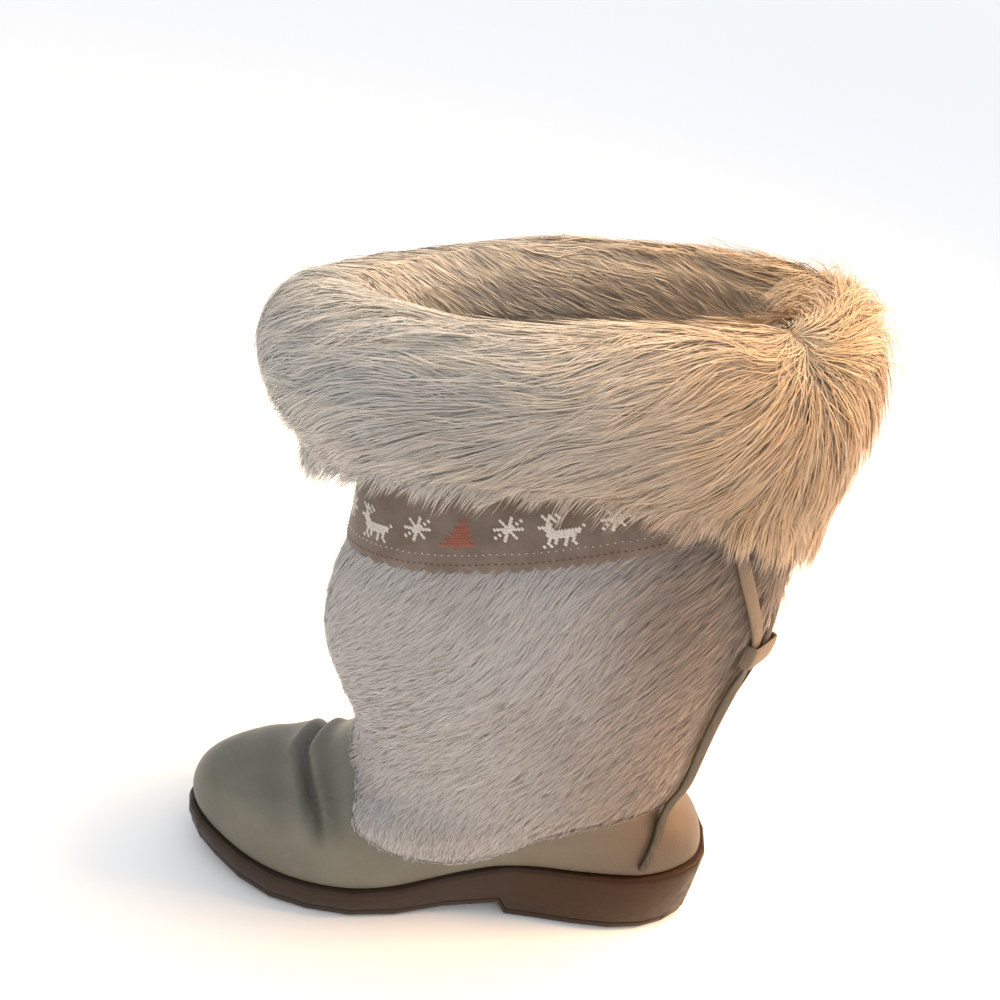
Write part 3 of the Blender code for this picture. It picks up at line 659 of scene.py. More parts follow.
ROOT_DEPTH = 0.6
RISE = 0.75
SWAY = 0.45
ROLL = 0.45
ROOT_WIDTH = 0.75
TIP_LOSS = 0.62
LOCK_LIFTS = (0.6, 1.3)
STRAND_LENGTHS = (0.72, 1.12)
STRAND_LIFTS = (0.35, 1.25)
STRAND_WIDTHS = (0.6, 1.25)
STRAND_PULLS = (0.6, 1.0)


@dataclass
class Coat:
    """How the hair of one mesh grows."""

    name: str
    strands: int
    seed: int
    length: float
    width: float
    lift: float
    locks: int
    gather: float
    stray: float = 0.12
    uneven: float = 0.2
    steps: int = 4


class Skin:
    """A surface that hair grows from and lies along."""

    def __init__(self, piece: Piece) -> None:
        """Reads the piece's triangles, in millimetres."""
        mesh = piece.data
        mesh.calc_loop_triangles()
        flat = np.empty(len(mesh.loop_triangles) * 3, dtype=np.int32)
        mesh.loop_triangles.foreach_get("vertices", flat)
        self.corners = flat.reshape(-1, 3)
        self.points = read_points(piece)
        a, b, c = (self.points[self.corners[:, i]] for i in range(3))
        cross = np.cross(b - a, c - a)
        self.areas = np.linalg.norm(cross, axis=1) / 2
        self.normals = unit(cross)
        self.centres = (a + b + c) / 3
        self.tree = BVHTree.FromPolygons(self.points.tolist(), self.corners.tolist())

    def scatter(self, count: int, dice: np.random.Generator, growing: Flow) -> tuple[Rows, Rows]:
        """Picks root points on the faces where hair grows.

        Args:
            count: number of roots.
            dice: seeded random numbers.
            growing: density from the faces' centres and normals.

        Returns:
            The roots and their normals.
        """
        weight = self.areas * growing(self.centres, self.normals)
        chosen = dice.choice(len(weight), size=count, p=weight / weight.sum())
        u, v = dice.random((2, count))
        over = u + v > 1
        u[over], v[over] = 1 - u[over], 1 - v[over]
        a, b, c = (self.points[self.corners[chosen, i]] for i in range(3))
        roots = a + (b - a) * u[:, None] + (c - a) * v[:, None]
        return roots, self.normals[chosen]

    def nearest(self, places: Rows) -> tuple[Rows, Rows]:
        """The closest points of the surface and the normals there."""
        found = [self.tree.find_nearest(p) for p in places.tolist()]
        points = np.array([f[0] for f in found])
        return points, self.normals[[f[2] for f in found]]


def laid_down(ways: Rows, normals: Rows) -> Rows:
    """Ways at length one along a surface that has these normals."""
    return unit(ways - normals * np.sum(ways * normals, axis=1, keepdims=True))


def follow(
    skin: Skin, roots: Rows, normals: Rows, lengths: Rows, turns: Rows, lifts: Rows, flow: Flow, steps: int
) -> tuple[Rows, Rows]:
    """Lays strands along a surface.

    Args:
        skin: the surface they follow.
        roots: where they start.
        normals: the surface's normals there.
        lengths: each strand's length.
        turns: angle by which each strand leaves the flow.
        lifts: how far each tip stands off the surface.
        flow: way of the hair at a place.
        steps: stretches of a strand.

    Returns:
        The strands' points and the surface's normals at them.
    """
    surface, normal = roots, normals
    line = [roots - normals * ROOT_DEPTH]
    outs = [normals]
    for done in range(1, steps + 1):
        way = flow(surface, normal)
        side = unit(np.cross(normal, way))
        way = way * np.cos(turns)[:, None] + side * np.sin(turns)[:, None]
        ahead = surface + way * (lengths / steps)[:, None]
        surface, normal = skin.nearest(ahead)
        share = done / steps
        line.append(surface + normal * (lifts * share**RISE)[:, None])
        outs.append(normal)
    return np.stack(line, axis=1), np.stack(outs, axis=1)


@dataclass
class CoatMaker:
    """Grows the strands of a coat on a skin."""

    skin: Skin
    flow: Flow
    growing: Flow
    length_field: Field
    lift_field: Field
    patch_field: Field

    def grow(self, coat: Coat, material: bpy.types.Material) -> Piece:
        """Makes one mesh of tapered strands, gathered into locks.

        Args:
            coat: numbers of the coat.
            material: the hair's finish.

        Returns:
            The new piece.
        """
        dice = np.random.default_rng(coat.seed)
        guides, guide_normals = self.skin.scatter(coat.locks, dice, self.growing)
        guide_length = coat.length * self.length_field(guides)
        guide_length *= 1 + coat.uneven * dice.uniform(-1, 1, coat.locks)
        guide_turn = coat.stray * dice.normal(size=coat.locks)
        guide_lift = coat.lift * self.lift_field(guides) * dice.uniform(*LOCK_LIFTS, coat.locks)
        guide_line, _ = follow(
            self.skin, guides, guide_normals, guide_length, guide_turn, guide_lift, self.flow, coat.steps
        )
        guide_tone = dice.random(coat.locks)
        tree = KDTree(coat.locks)
        for index, place in enumerate(guides.tolist()):
            tree.insert(place, index)
        tree.balance()

        roots, normals = self.skin.scatter(coat.strands, dice, self.growing)
        nearest = np.array([tree.find(p)[1] for p in roots.tolist()])
        lengths = guide_length[nearest] * dice.uniform(*STRAND_LENGTHS, coat.strands)
        turns = guide_turn[nearest] + coat.stray * 0.5 * dice.normal(size=coat.strands)
        lifts = guide_lift[nearest] * dice.uniform(*STRAND_LIFTS, coat.strands)
        line, outs = follow(self.skin, roots, normals, lengths, turns, lifts, self.flow, coat.steps)
        shares = np.linspace(0, 1, coat.steps + 1)
        pull = (coat.gather * ease(shares))[None, :, None]
        pull = pull * dice.uniform(*STRAND_PULLS, (coat.strands, 1, 1))
        line = line * (1 - pull) + guide_line[nearest] * pull
        line = line + dice.normal(size=(coat.strands, 1, 3)) * (SWAY * shares**1.5)[None, :, None]
        tone = np.clip(0.5 * guide_tone[nearest] + 0.5 * dice.random(coat.strands), 0, 1)
        points = self.ribbons(coat, line, outs, dice)
        return self.mesh(coat, points, tone, self.patch_field(roots), material)

    def ribbons(self, coat: Coat, line: Rows, outs: Rows, dice: np.random.Generator) -> Rows:
        """Points of tapered ribbons along the strands: two for each step, then the tip."""
        count, last = coat.strands, coat.steps
        along = unit(np.gradient(line, axis=1))
        roll = dice.normal(scale=ROLL, size=(count, 1, 1))
        side = unit(np.cross(along, outs))
        side = unit(side * np.cos(roll) + outs * np.sin(roll))
        shares = np.linspace(0, 1, last + 1)
        narrowing = 1 - TIP_LOSS * (2 * shares - 1)
        taper = np.where(shares < 0.5, ROOT_WIDTH + 2 * (1 - ROOT_WIDTH) * shares, narrowing)
        half = (taper * coat.width / 2)[None, :, None] * dice.uniform(*STRAND_WIDTHS, (count, 1, 1))
        points = np.empty((count, 2 * last + 1, 3))
        points[:, 0:2 * last:2] = (line - side * half)[:, :last]
        points[:, 1:2 * last:2] = (line + side * half)[:, :last]
        points[:, 2 * last] = line[:, last]
        return points

    def mesh(
        self, coat: Coat, points: Rows, tone: Rows, patch: Rows, material: bpy.types.Material
    ) -> Piece:
        """Joins all ribbons into one mesh, of quads with a triangle at each tip."""
        count, stride, last = coat.strands, points.shape[1], coat.steps
        ribbon = []
        for i in range(0, 2 * last - 2, 2):
            ribbon += [i, i + 1, i + 3, i + 2]
        ribbon += [2 * last - 2, 2 * last - 1, 2 * last]
        corners = ((np.arange(count) * stride)[:, None] + np.array(ribbon)).ravel()
        sizes = np.tile(np.array([4] * (last - 1) + [3]), count)
        starts = np.concatenate([[0], np.cumsum(sizes)[:-1]])
        mesh = bpy.data.meshes.new(coat.name)
        mesh.vertices.add(count * stride)
        mesh.vertices.foreach_set("co", (points * MM).astype(np.float32).ravel())
        mesh.loops.add(len(corners))
        mesh.loops.foreach_set("vertex_index", corners.astype(np.int32))
        mesh.polygons.add(len(sizes))
        mesh.polygons.foreach_set("loop_start", starts.astype(np.int32))
        mesh.update(calc_edges=True)
        climb = np.append(np.repeat(np.linspace(0, 1, last + 1)[:last], 2), 1.0)
        store_shade(mesh, "hair", np.repeat(tone, stride), np.tile(climb, count), np.repeat(patch, stride))
        mesh.shade_smooth()
        mesh.materials.append(material)
        return link_mesh(mesh)


# The boot's own sub-assemblies


@dataclass
class Sole:
    """Moulded unit sole with its heel and tread."""

    finish: Rubber = Rubber()
    edges: RoundEdges = RoundEdges(width=0.5, sharp=32.0, smooth=32.0)

    def build(self) -> None:
        """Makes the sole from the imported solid, with soft edges."""
        piece = copy_of_node("outsole", "sole")
        piece.data.materials.append(self.finish.material())
        self.edges(piece)
        finish_piece(piece, ["outsole"])


@dataclass
class Crease:
    """One soft trough across the instep with a ridge on each side."""

    top_x: float
    side_x: float
    width: float
    depth: float
    ridge: float
    side_y: float = 42.0
    furthest: float = 1.2
    bend: float = 1.4
    ridge_place: float = 1.9
    ridge_width: float = 0.8
    above_sole: Fade = Fade(Z, 38.0, 16.0)

    def offsets(self, points: Rows) -> tuple[Rows, Rows]:
        """Depth at each point and how deep in the trough it lies."""
        aside = np.clip(np.abs(points[:, Y]) / self.side_y, 0, self.furthest)
        middle = self.top_x + (self.side_x - self.top_x) * aside**self.bend
        across = (points[:, X] - middle) / self.width
        fade = self.above_sole(points)
        trough = bell(across, 1.0) * fade
        ridge = bell(np.abs(across) - self.ridge_place, self.ridge_width) * fade
        return self.depth * trough - self.ridge * ridge, trough


@dataclass
class Foot:
    """Leather foot and shaft wall, with the creases that wear has made."""

    leather: Leather = Leather()
    felt: Felt = Felt()
    creases: tuple[Crease, ...] = (
        Crease(-85.0, -70.0, 3.0, 3.2, 1.0),
        Crease(-73.0, -61.0, 4.2, 0.9, 0.4),
        Crease(-100.0, -91.0, 5.5, 0.5, 0.2),
    )
    spine: tuple[tuple[float, float], ...] = (
        (-125, 36), (-60, 45), (30, 58), (42, 110), (25, 200), (14, 345)
    )
    spine_samples: int = 200
    behind_vamp: Fade = Fade(X, -58.0, 14.0)
    above_sole: Fade = Fade(Z, 32.0, 12.0)
    unevenness: Waves = Waves(34.0, 0.7, 0.45)

    def build(self) -> None:
        """Makes the smooth upper with its creases, lined with felt."""
        piece = copy_of_node("upper", "leather_foot")
        piece.data.materials.append(self.leather.material())
        piece.data.materials.append(self.felt.material())
        self.line_inside(piece)
        apply_modifier(piece, "SUBSURF", levels=3, render_levels=3)
        self.crease(piece)
        piece.data.shade_smooth()
        finish_piece(piece, ["upper"])

    def line_inside(self, piece: Piece) -> None:
        """Gives the faces that look at the boot's spine the felt."""
        knots = np.array(self.spine, float)
        steps = np.linspace(0, len(knots) - 1, self.spine_samples)
        line_x, line_z = (np.interp(steps, range(len(knots)), column) for column in knots.T)
        line = np.stack([line_x, np.zeros_like(line_x), line_z], axis=1)
        for face in piece.data.polygons:
            away = line - np.array(face.center) / MM
            to_spine = away[np.argmin(np.sum(away * away, axis=1))]
            if np.dot(to_spine, np.array(face.normal)) > 0:
                face.material_index = 1

    def crease(self, piece: Piece) -> None:
        """Presses the creases in and notes how deep each point lies, for the painted shade in the creases.
        """
        points = read_points(piece)
        normals = read_normals(piece)
        leather = np.ones(len(points))
        for face in piece.data.polygons:
            if face.material_index == 1:
                leather[list(face.vertices)] = 0
        vamp = 1 - self.behind_vamp(points)
        above_sole = self.above_sole(points)
        inward = np.where(leather > 0, 1.0, -1.0)
        total = np.zeros(len(points))
        crease_shade = np.zeros(len(points))
        for crease in self.creases:
            depth, trough = crease.offsets(points)
            total += depth
            crease_shade = np.maximum(crease_shade, trough * crease.depth / self.creases[0].depth)
        total = total * vamp + self.unevenness(points)
        write_points(piece, points - normals * (total * above_sole * inward)[:, None])
        # The trough depths drive the leather's painted crease shade.
        store_shade(piece.data, "crease_shade", crease_shade * vamp * above_sole * leather)


@dataclass
class Insole:
    """Felt insole lying in the foot."""

    finish: Felt = Felt()
    edges: RoundEdges = RoundEdges(width=0.8, sharp=40.0, smooth=50.0)

    def build(self) -> None:
        """Makes the insole with a soft rim."""
        piece = copy_of_node("insole", "felt_insole")
        piece.data.materials.append(self.finish.material())
        self.edges(piece)
        finish_piece(piece, ["insole"])


@dataclass(frozen=True)
class ThongLine:
    """The line of one thong: rough x, y and z, width, and height over the surface."""

    node: str
    knots: tuple[tuple[float, float, float, float, float], ...]
    lean: float = 0.0


@dataclass
class Thongs:
    """The two thongs up the back and the keeper that holds them together."""

    finish: ThongLeather = ThongLeather()
    edges: RoundEdges = RoundEdges(width=0.55, sharp=50.0, smooth=45.0)
    strap_sharp: float = 60.0
    upright: tuple[float, float, float] = (1.0, 1.0, 0.25)
    above_heel: Fade = Fade(Z, 62.0, 24.0)
    below_keeper: Fade = Fade(Z, 182.0, -22.0)
    thick: float = 1.9
    sides: int = 12
    corner: float = 0.45
    samples: int = 150
    smoothing: int = 7
    lines: tuple[ThongLine, ...] = (
        ThongLine("thong_outer", (
            (99, -39.5, 45, 4.4, 1.2), (102, -37.5, 53, 5.0, 1.2), (105, -33, 61, 5.6, 1.3),
            (108, -28, 69, 6.2, 1.5), (111, -24.5, 79, 6.8, 1.7), (113, -24, 92, 7.2, 1.9),
            (114, -25, 110, 7.4, 2.0), (113, -27, 135, 7.6, 2.3), (115, -29.5, 158, 7.6, 2.8),
            (117, -31.6, 180, 6.8, 3.6), (117.4, -32.3, 190, 6.4, 3.6), (116.6, -33, 199, 6.4, 3.6),
            (109.6, -37.4, 215, 6.4, 2.8), (101, -41, 231, 6.4, 1.9), (94, -43.8, 245, 6.4, 1.7),
            (87, -45, 262, 6.4, 1.5),
        ), lean=0.6),
        ThongLine("thong_inner", (
            (102.6, 38.9, 45, 4.4, 1.2), (105.6, 35.8, 52, 5.0, 1.2), (108, 32, 58, 5.6, 1.3),
            (108, 27, 68, 6.2, 1.5), (110.4, 21.6, 80, 6.4, 1.7), (117, 16, 90, 6.4, 1.5),
            (121.6, 9, 100, 6.4, 0.8), (124.4, -3, 120, 6.4, 0.5), (124.6, -14, 139, 6.4, 0.6),
            (123.5, -21.5, 159, 6.4, 1.8), (124, -24.2, 180, 6.4, 3.6), (124.5, -24.5, 190, 6.4, 3.6),
            (125.8, -23.2, 199, 6.4, 3.4), (127.8, -18.5, 215, 6.4, 1.0), (129.4, -11.7, 231, 6.4, 0.6),
            (130, -4.8, 244, 6.4, 0.6), (128, 1.3, 260, 6.4, 0.6),
        )),
    )

    def build(self) -> None:
        """Makes both thongs and the keeper."""
        material = self.finish.material()
        skin = surface_tree(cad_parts[node] for node in ("fur_shaft", "upper"))
        for line in self.lines:
            finish_piece(self.strap(line, skin, material), [line.node])
        keeper = copy_of_node("keeper", "leather_keeper")
        keeper.data.materials.append(material)
        self.edges(keeper)
        finish_piece(keeper, ["keeper"])

    def strap(self, line: ThongLine, skin: BVHTree, material: bpy.types.Material) -> Piece:
        """Lays one flat strap with rounded edges along its line.

        Args:
            line: where the strap runs.
            skin: the fur and leather below it.
            material: the strap's finish.

        Returns:
            The new piece.
        """
        knots = np.array(line.knots)
        steps = np.linspace(0, len(knots) - 1, self.samples)
        rough = np.stack([np.interp(steps, range(len(knots)), column) for column in knots.T], axis=1)
        found = [skin.find_nearest(place) for place in rough[:, :3].tolist()]
        normals = self.smooth(np.array([f[1] for f in found]))
        free = self.above_heel(rough) * self.below_keeper(rough)
        normals = unit(normals * np.array(self.upright))
        normals[:, Y] -= line.lean * free
        normals = unit(normals)
        middles = self.smooth(np.array([f[0] for f in found]) + normals * rough[:, 4:5])
        along = unit(np.gradient(middles, axis=0))
        across = unit(np.cross(along, normals))
        up = np.cross(across, along)
        turn = np.arange(self.sides) * 2 * math.pi / self.sides
        wide = np.sign(np.cos(turn)) * np.abs(np.cos(turn)) ** self.corner
        deep = np.sign(np.sin(turn)) * np.abs(np.sin(turn)) ** self.corner
        half_wide = rough[:, 3][:, None, None] / 2
        rings = middles[:, None] + across[:, None] * wide[None, :, None] * half_wide
        rings = rings + up[:, None] * deep[None, :, None] * self.thick / 2
        faces = ring_faces(self.samples, self.sides)
        last = (self.samples - 1) * self.sides
        faces += [tuple(range(self.sides)), tuple(reversed(range(last, last + self.sides)))]
        piece = new_piece(f"leather_{line.node}", rings.reshape(-1, 3), faces)
        piece.data.materials.append(material)
        smooth_by_angle(piece, self.strap_sharp)
        return piece

    def smooth(self, rows: Rows) -> Rows:
        """Evens out neighbouring rows, with both ends held."""
        reach = self.smoothing
        padded = np.concatenate([np.repeat(rows[:1], reach, 0), rows, np.repeat(rows[-1:], reach, 0)])
        weights = np.hanning(2 * reach + 3)[1:-1]
        weights /= weights.sum()
        return np.stack([np.convolve(column, weights, "valid") for column in padded.T], axis=1)


@dataclass
class Band:
    """Suede band with a scalloped edge and cross stitched figures."""

    finish: Suede = Suede()
    axis_x: float = 24.0
    outer_radius: float = 130.0
    middle_radius: float = 60.0
    turn_step: float = 0.01
    trace_samples: int = 721
    trace_above: float = 24.0
    hem_step: float = 4.0
    scallops: int = 68
    scallop_depth: float = 2.6
    edge_reach: float = 7.0
    stitch: float = 1.45
    stitch_end: float = -0.15
    stitch_edge: float = -0.1
    stitch_top: float = 0.42
    stitch_shoulder: float = 0.28
    figure_foot: float = 12.0
    figure_gap: int = 3
    figure_squash: float = 0.92
    figure_stitch: float = 1.5
    figure_raise: float = 4.0
    figure_lean: tuple[float, float] = (0.82, 0.57)
    rust: Thread = Thread("rust_thread", (0.30, 0.085, 0.055))
    white: Thread = Thread("white_thread", (0.70, 0.66, 0.60))
    brown: Thread = Thread("brown_thread", (0.11, 0.055, 0.035))

    fir: tuple[str, ...] = (
        "......r......",
        ".....rrr.....",
        "......r......",
        "....rrrrr....",
        ".....rrr.....",
        "...rrrrrrr...",
        "....rrrrr....",
        "..rrrrrrrrr..",
        "...rrrrrrr...",
        ".rrrrrrrrrrr.",
        "......r......",
        "......r......",
    )
    deer: tuple[str, ...] = (
        ".w.w.w..........",
        "..www.w.........",
        "...w.w..........",
        "...ww...........",
        ".wwww...........",
        "...www........w.",
        "....wwwwwwwwww..",
        "....wwwwwwwwww..",
        ".....wwwwwwww...",
        ".....w.w..w.w...",
        ".....w.w..w.w...",
        "....w.w...w..w..",
    )
    flake: tuple[str, ...] = (
        "....w....",
        ".w..w..w.",
        "..w.w.w..",
        "...www...",
        "wwwwwwwww",
        "...www...",
        "..w.w.w..",
        ".w..w..w.",
        "....w....",
    )

    def build(self) -> None:
        """Makes the band, its stitch lines and its figures."""
        piece = copy_of_node("band", "suede_band")
        apply_modifier(piece, "SUBSURF", levels=3, render_levels=3)
        self.measure_hem(piece)
        self.refine_hem(piece)
        self.scallop(piece)
        piece.data.materials.append(self.finish.material())
        piece.data.shade_smooth()
        self.skin = Skin(piece)
        self.trace()
        finish_piece(piece, ["band"])
        self.stitch_line("hem_stitching", self.brown, above=5.6, pitch=2.8, share=0.60, breadth=0.8)
        self.stitch_line("snow_stitching", self.white, above=10.6, pitch=3.0, share=0.36, breadth=0.6)
        self.figures()

    def bearing(self, points: Rows) -> Rows:
        """Bearing of each point round the shaft, in degrees; 0 is the front."""
        return np.degrees(np.arctan2(points[:, Y], -(points[:, X] - self.axis_x)))

    def measure_hem(self, piece: Piece) -> None:
        """Finds the height of the band's lower edge all round."""
        points = read_points(piece)
        bearing = self.bearing(points)
        self.hem_bearings = np.arange(-180.0, 180.0, self.hem_step)
        heights = []
        for middle in self.hem_bearings:
            apart = np.abs((bearing - middle + 180) % 360 - 180)
            heights.append(points[apart < self.hem_step / 2, Z].min())
        self.hem_heights = np.array(heights)

    def hem_height(self, points: Rows) -> Rows:
        """Height of the band's lower edge at each point's bearing."""
        return np.interp(self.bearing(points), self.hem_bearings, self.hem_heights, period=360)

    def refine_hem(self, piece: Piece) -> None:
        """Subdivides the rows next to the hem, for its scallops."""
        points = read_points(piece)
        near = points[:, Z] < self.hem_height(points) + self.edge_reach
        activate(piece)
        bpy.ops.object.mode_set(mode="EDIT")
        bpy.ops.mesh.select_all(action="DESELECT")
        bpy.ops.mesh.select_mode(type="FACE")
        bpy.ops.object.mode_set(mode="OBJECT")
        for face in piece.data.polygons:
            face.select = all(near[v] for v in face.vertices)
        bpy.ops.object.mode_set(mode="EDIT")
        bpy.ops.mesh.subdivide(number_cuts=2)
        bpy.ops.mesh.select_mode(type="VERT")
        bpy.ops.object.mode_set(mode="OBJECT")

    def scallop(self, piece: Piece) -> None:
        """Cuts the hem into small round scallops."""
        points = read_points(piece)
        bearing = np.radians(self.bearing(points))
        above = points[:, Z] - self.hem_height(points)
        held = 1 - ease(above / self.edge_reach)
        notch = 1 - np.abs(np.sin(bearing * self.scallops / 2))
        points[:, Z] += self.scallop_depth * notch * held
        write_points(piece, points)

    def trace(self) -> None:
        """Measures the band's outline, so that lengths can be laid on it."""
        self.turns = np.linspace(-math.pi, math.pi, self.trace_samples)
        heights = self.hem_height(self.ring(self.turns, self.outer_radius)) + self.trace_above
        hits = np.array([self.hit(turn, z)[0] for turn, z in zip(self.turns, heights)])
        lengths = np.linalg.norm(np.diff(hits, axis=0), axis=1)
        self.run = np.concatenate([[0], np.cumsum(lengths)])

    def ring(self, turn: Rows, radius: float) -> Rows:
        """Points on a circle round the shaft; turn 0 is the front."""
        x = self.axis_x - radius * np.cos(turn)
        return np.stack([x, radius * np.sin(turn), np.zeros_like(turn)], axis=1)

    def hit(self, turn: float, height: float) -> tuple[Rows, Rows]:
        """Point and normal of the band's outside at a bearing and height."""
        outer = self.ring(np.array([turn]), self.outer_radius)[0]
        start = Vector((outer[0], outer[1], height))
        way = Vector((self.axis_x, 0.0, height)) - start
        point, normal, _, _ = self.skin.tree.ray_cast(start, way.normalized())
        if point is None:
            return np.array([self.axis_x, 0.0, height]), np.array([0.0, 0.0, 1.0])
        return np.array(point), np.array(normal)

    def spot(self, run: float, above_hem: float) -> tuple[Rows, Rows, Rows, Rows]:
        """A place on the band.

        Args:
            run: length round the band from the middle of its back.
            above_hem: height above the hem.

        Returns:
            The point, the way round the band, the way up and the normal.
        """
        turn = float(np.interp(run % self.run[-1], self.run, self.turns))
        two = self.ring(np.array([turn, turn + self.turn_step]), self.middle_radius)
        hem, next_hem = (float(height) for height in self.hem_height(two))
        height = hem + above_hem
        point, normal = self.hit(turn, height)
        ahead, _ = self.hit(turn + self.turn_step, height + (next_hem - hem))
        round_way = unit(ahead - point)
        up = unit(np.cross(normal, round_way))
        if up[Z] < 0:
            up = -up
        return point, round_way, up, normal

    def stitch_line(
        self, name: str, thread: Thread, above: float, pitch: float, share: float, breadth: float
    ) -> None:
        """Sews one row of running stitches round the band."""
        count = int(self.run[-1] / pitch)
        stitches = []
        for i in range(count):
            point, along, up, normal = self.spot((i + 0.5) * self.run[-1] / count, above)
            stitches.append((point, along, up, normal, pitch * share, breadth))
        self.sew(name, thread, stitches)

    def sew(self, name: str, thread: Thread, stitches: Iterable[tuple]) -> None:
        """Joins small rounded stitches into one mesh.

        Args:
            name: name of the piece.
            thread: its thread.
            stitches: point, way along, way up, normal, length and breadth of each.
        """
        points, faces = [], []
        for point, along, up, normal, length, breadth in stitches:
            start = len(points)
            for end in (-1, 1):
                points.append(point + along * end * length / 2 + normal * self.stitch_end)
            for end in (-1, 1):
                middle = point + along * (end * self.stitch_shoulder) * length
                points.append(middle + up * breadth / 2 + normal * self.stitch_edge)
                points.append(middle + normal * self.stitch_top)
                points.append(middle - up * breadth / 2 + normal * self.stitch_edge)
            a, b, c, d, e, f, g, h = range(start, start + 8)
            faces += [(a, d, c), (a, e, d), (f, c, d, g), (g, d, e, h), (b, f, g), (b, g, h)]
        piece = new_piece(name, np.array(points), faces)
        piece.data.materials.append(thread.material())
        piece.data.shade_smooth()
        finish_piece(piece)

    def figures(self) -> None:
        """Sews firs, deer and snow stars in turn round the band."""
        star = (self.flake, self.figure_raise)
        row = ((self.fir, 0.0), star, (self.deer, 0.0), star)
        width = sum(len(chart[0]) + self.figure_gap for chart, _ in row) * self.stitch
        repeats = max(1, round(self.run[-1] / width))
        stretch = self.run[-1] / (repeats * width)
        upwards, sideways = self.figure_lean
        stitches: dict[str, list] = {"r": [], "w": []}
        start = 0.0
        for chart, raised in row * repeats:
            for down, line in enumerate(chart):
                above = self.figure_foot + raised + (len(chart) - down) * self.stitch * self.figure_squash
                for right, letter in enumerate(line):
                    if letter not in stitches:
                        continue
                    run = start + (len(line) - right) * self.stitch * stretch
                    point, along, up, normal = self.spot(run, above)
                    lean = unit(up * upwards + along * sideways)
                    cross = unit(np.cross(normal, lean))
                    long = self.stitch * self.figure_stitch
                    stitches[letter].append((point, lean, cross, normal, long, self.stitch))
            start += (len(chart[0]) + self.figure_gap) * self.stitch * stretch
        self.sew("rust_figures", self.rust, stitches["r"])
        self.sew("white_figures", self.white, stitches["w"])


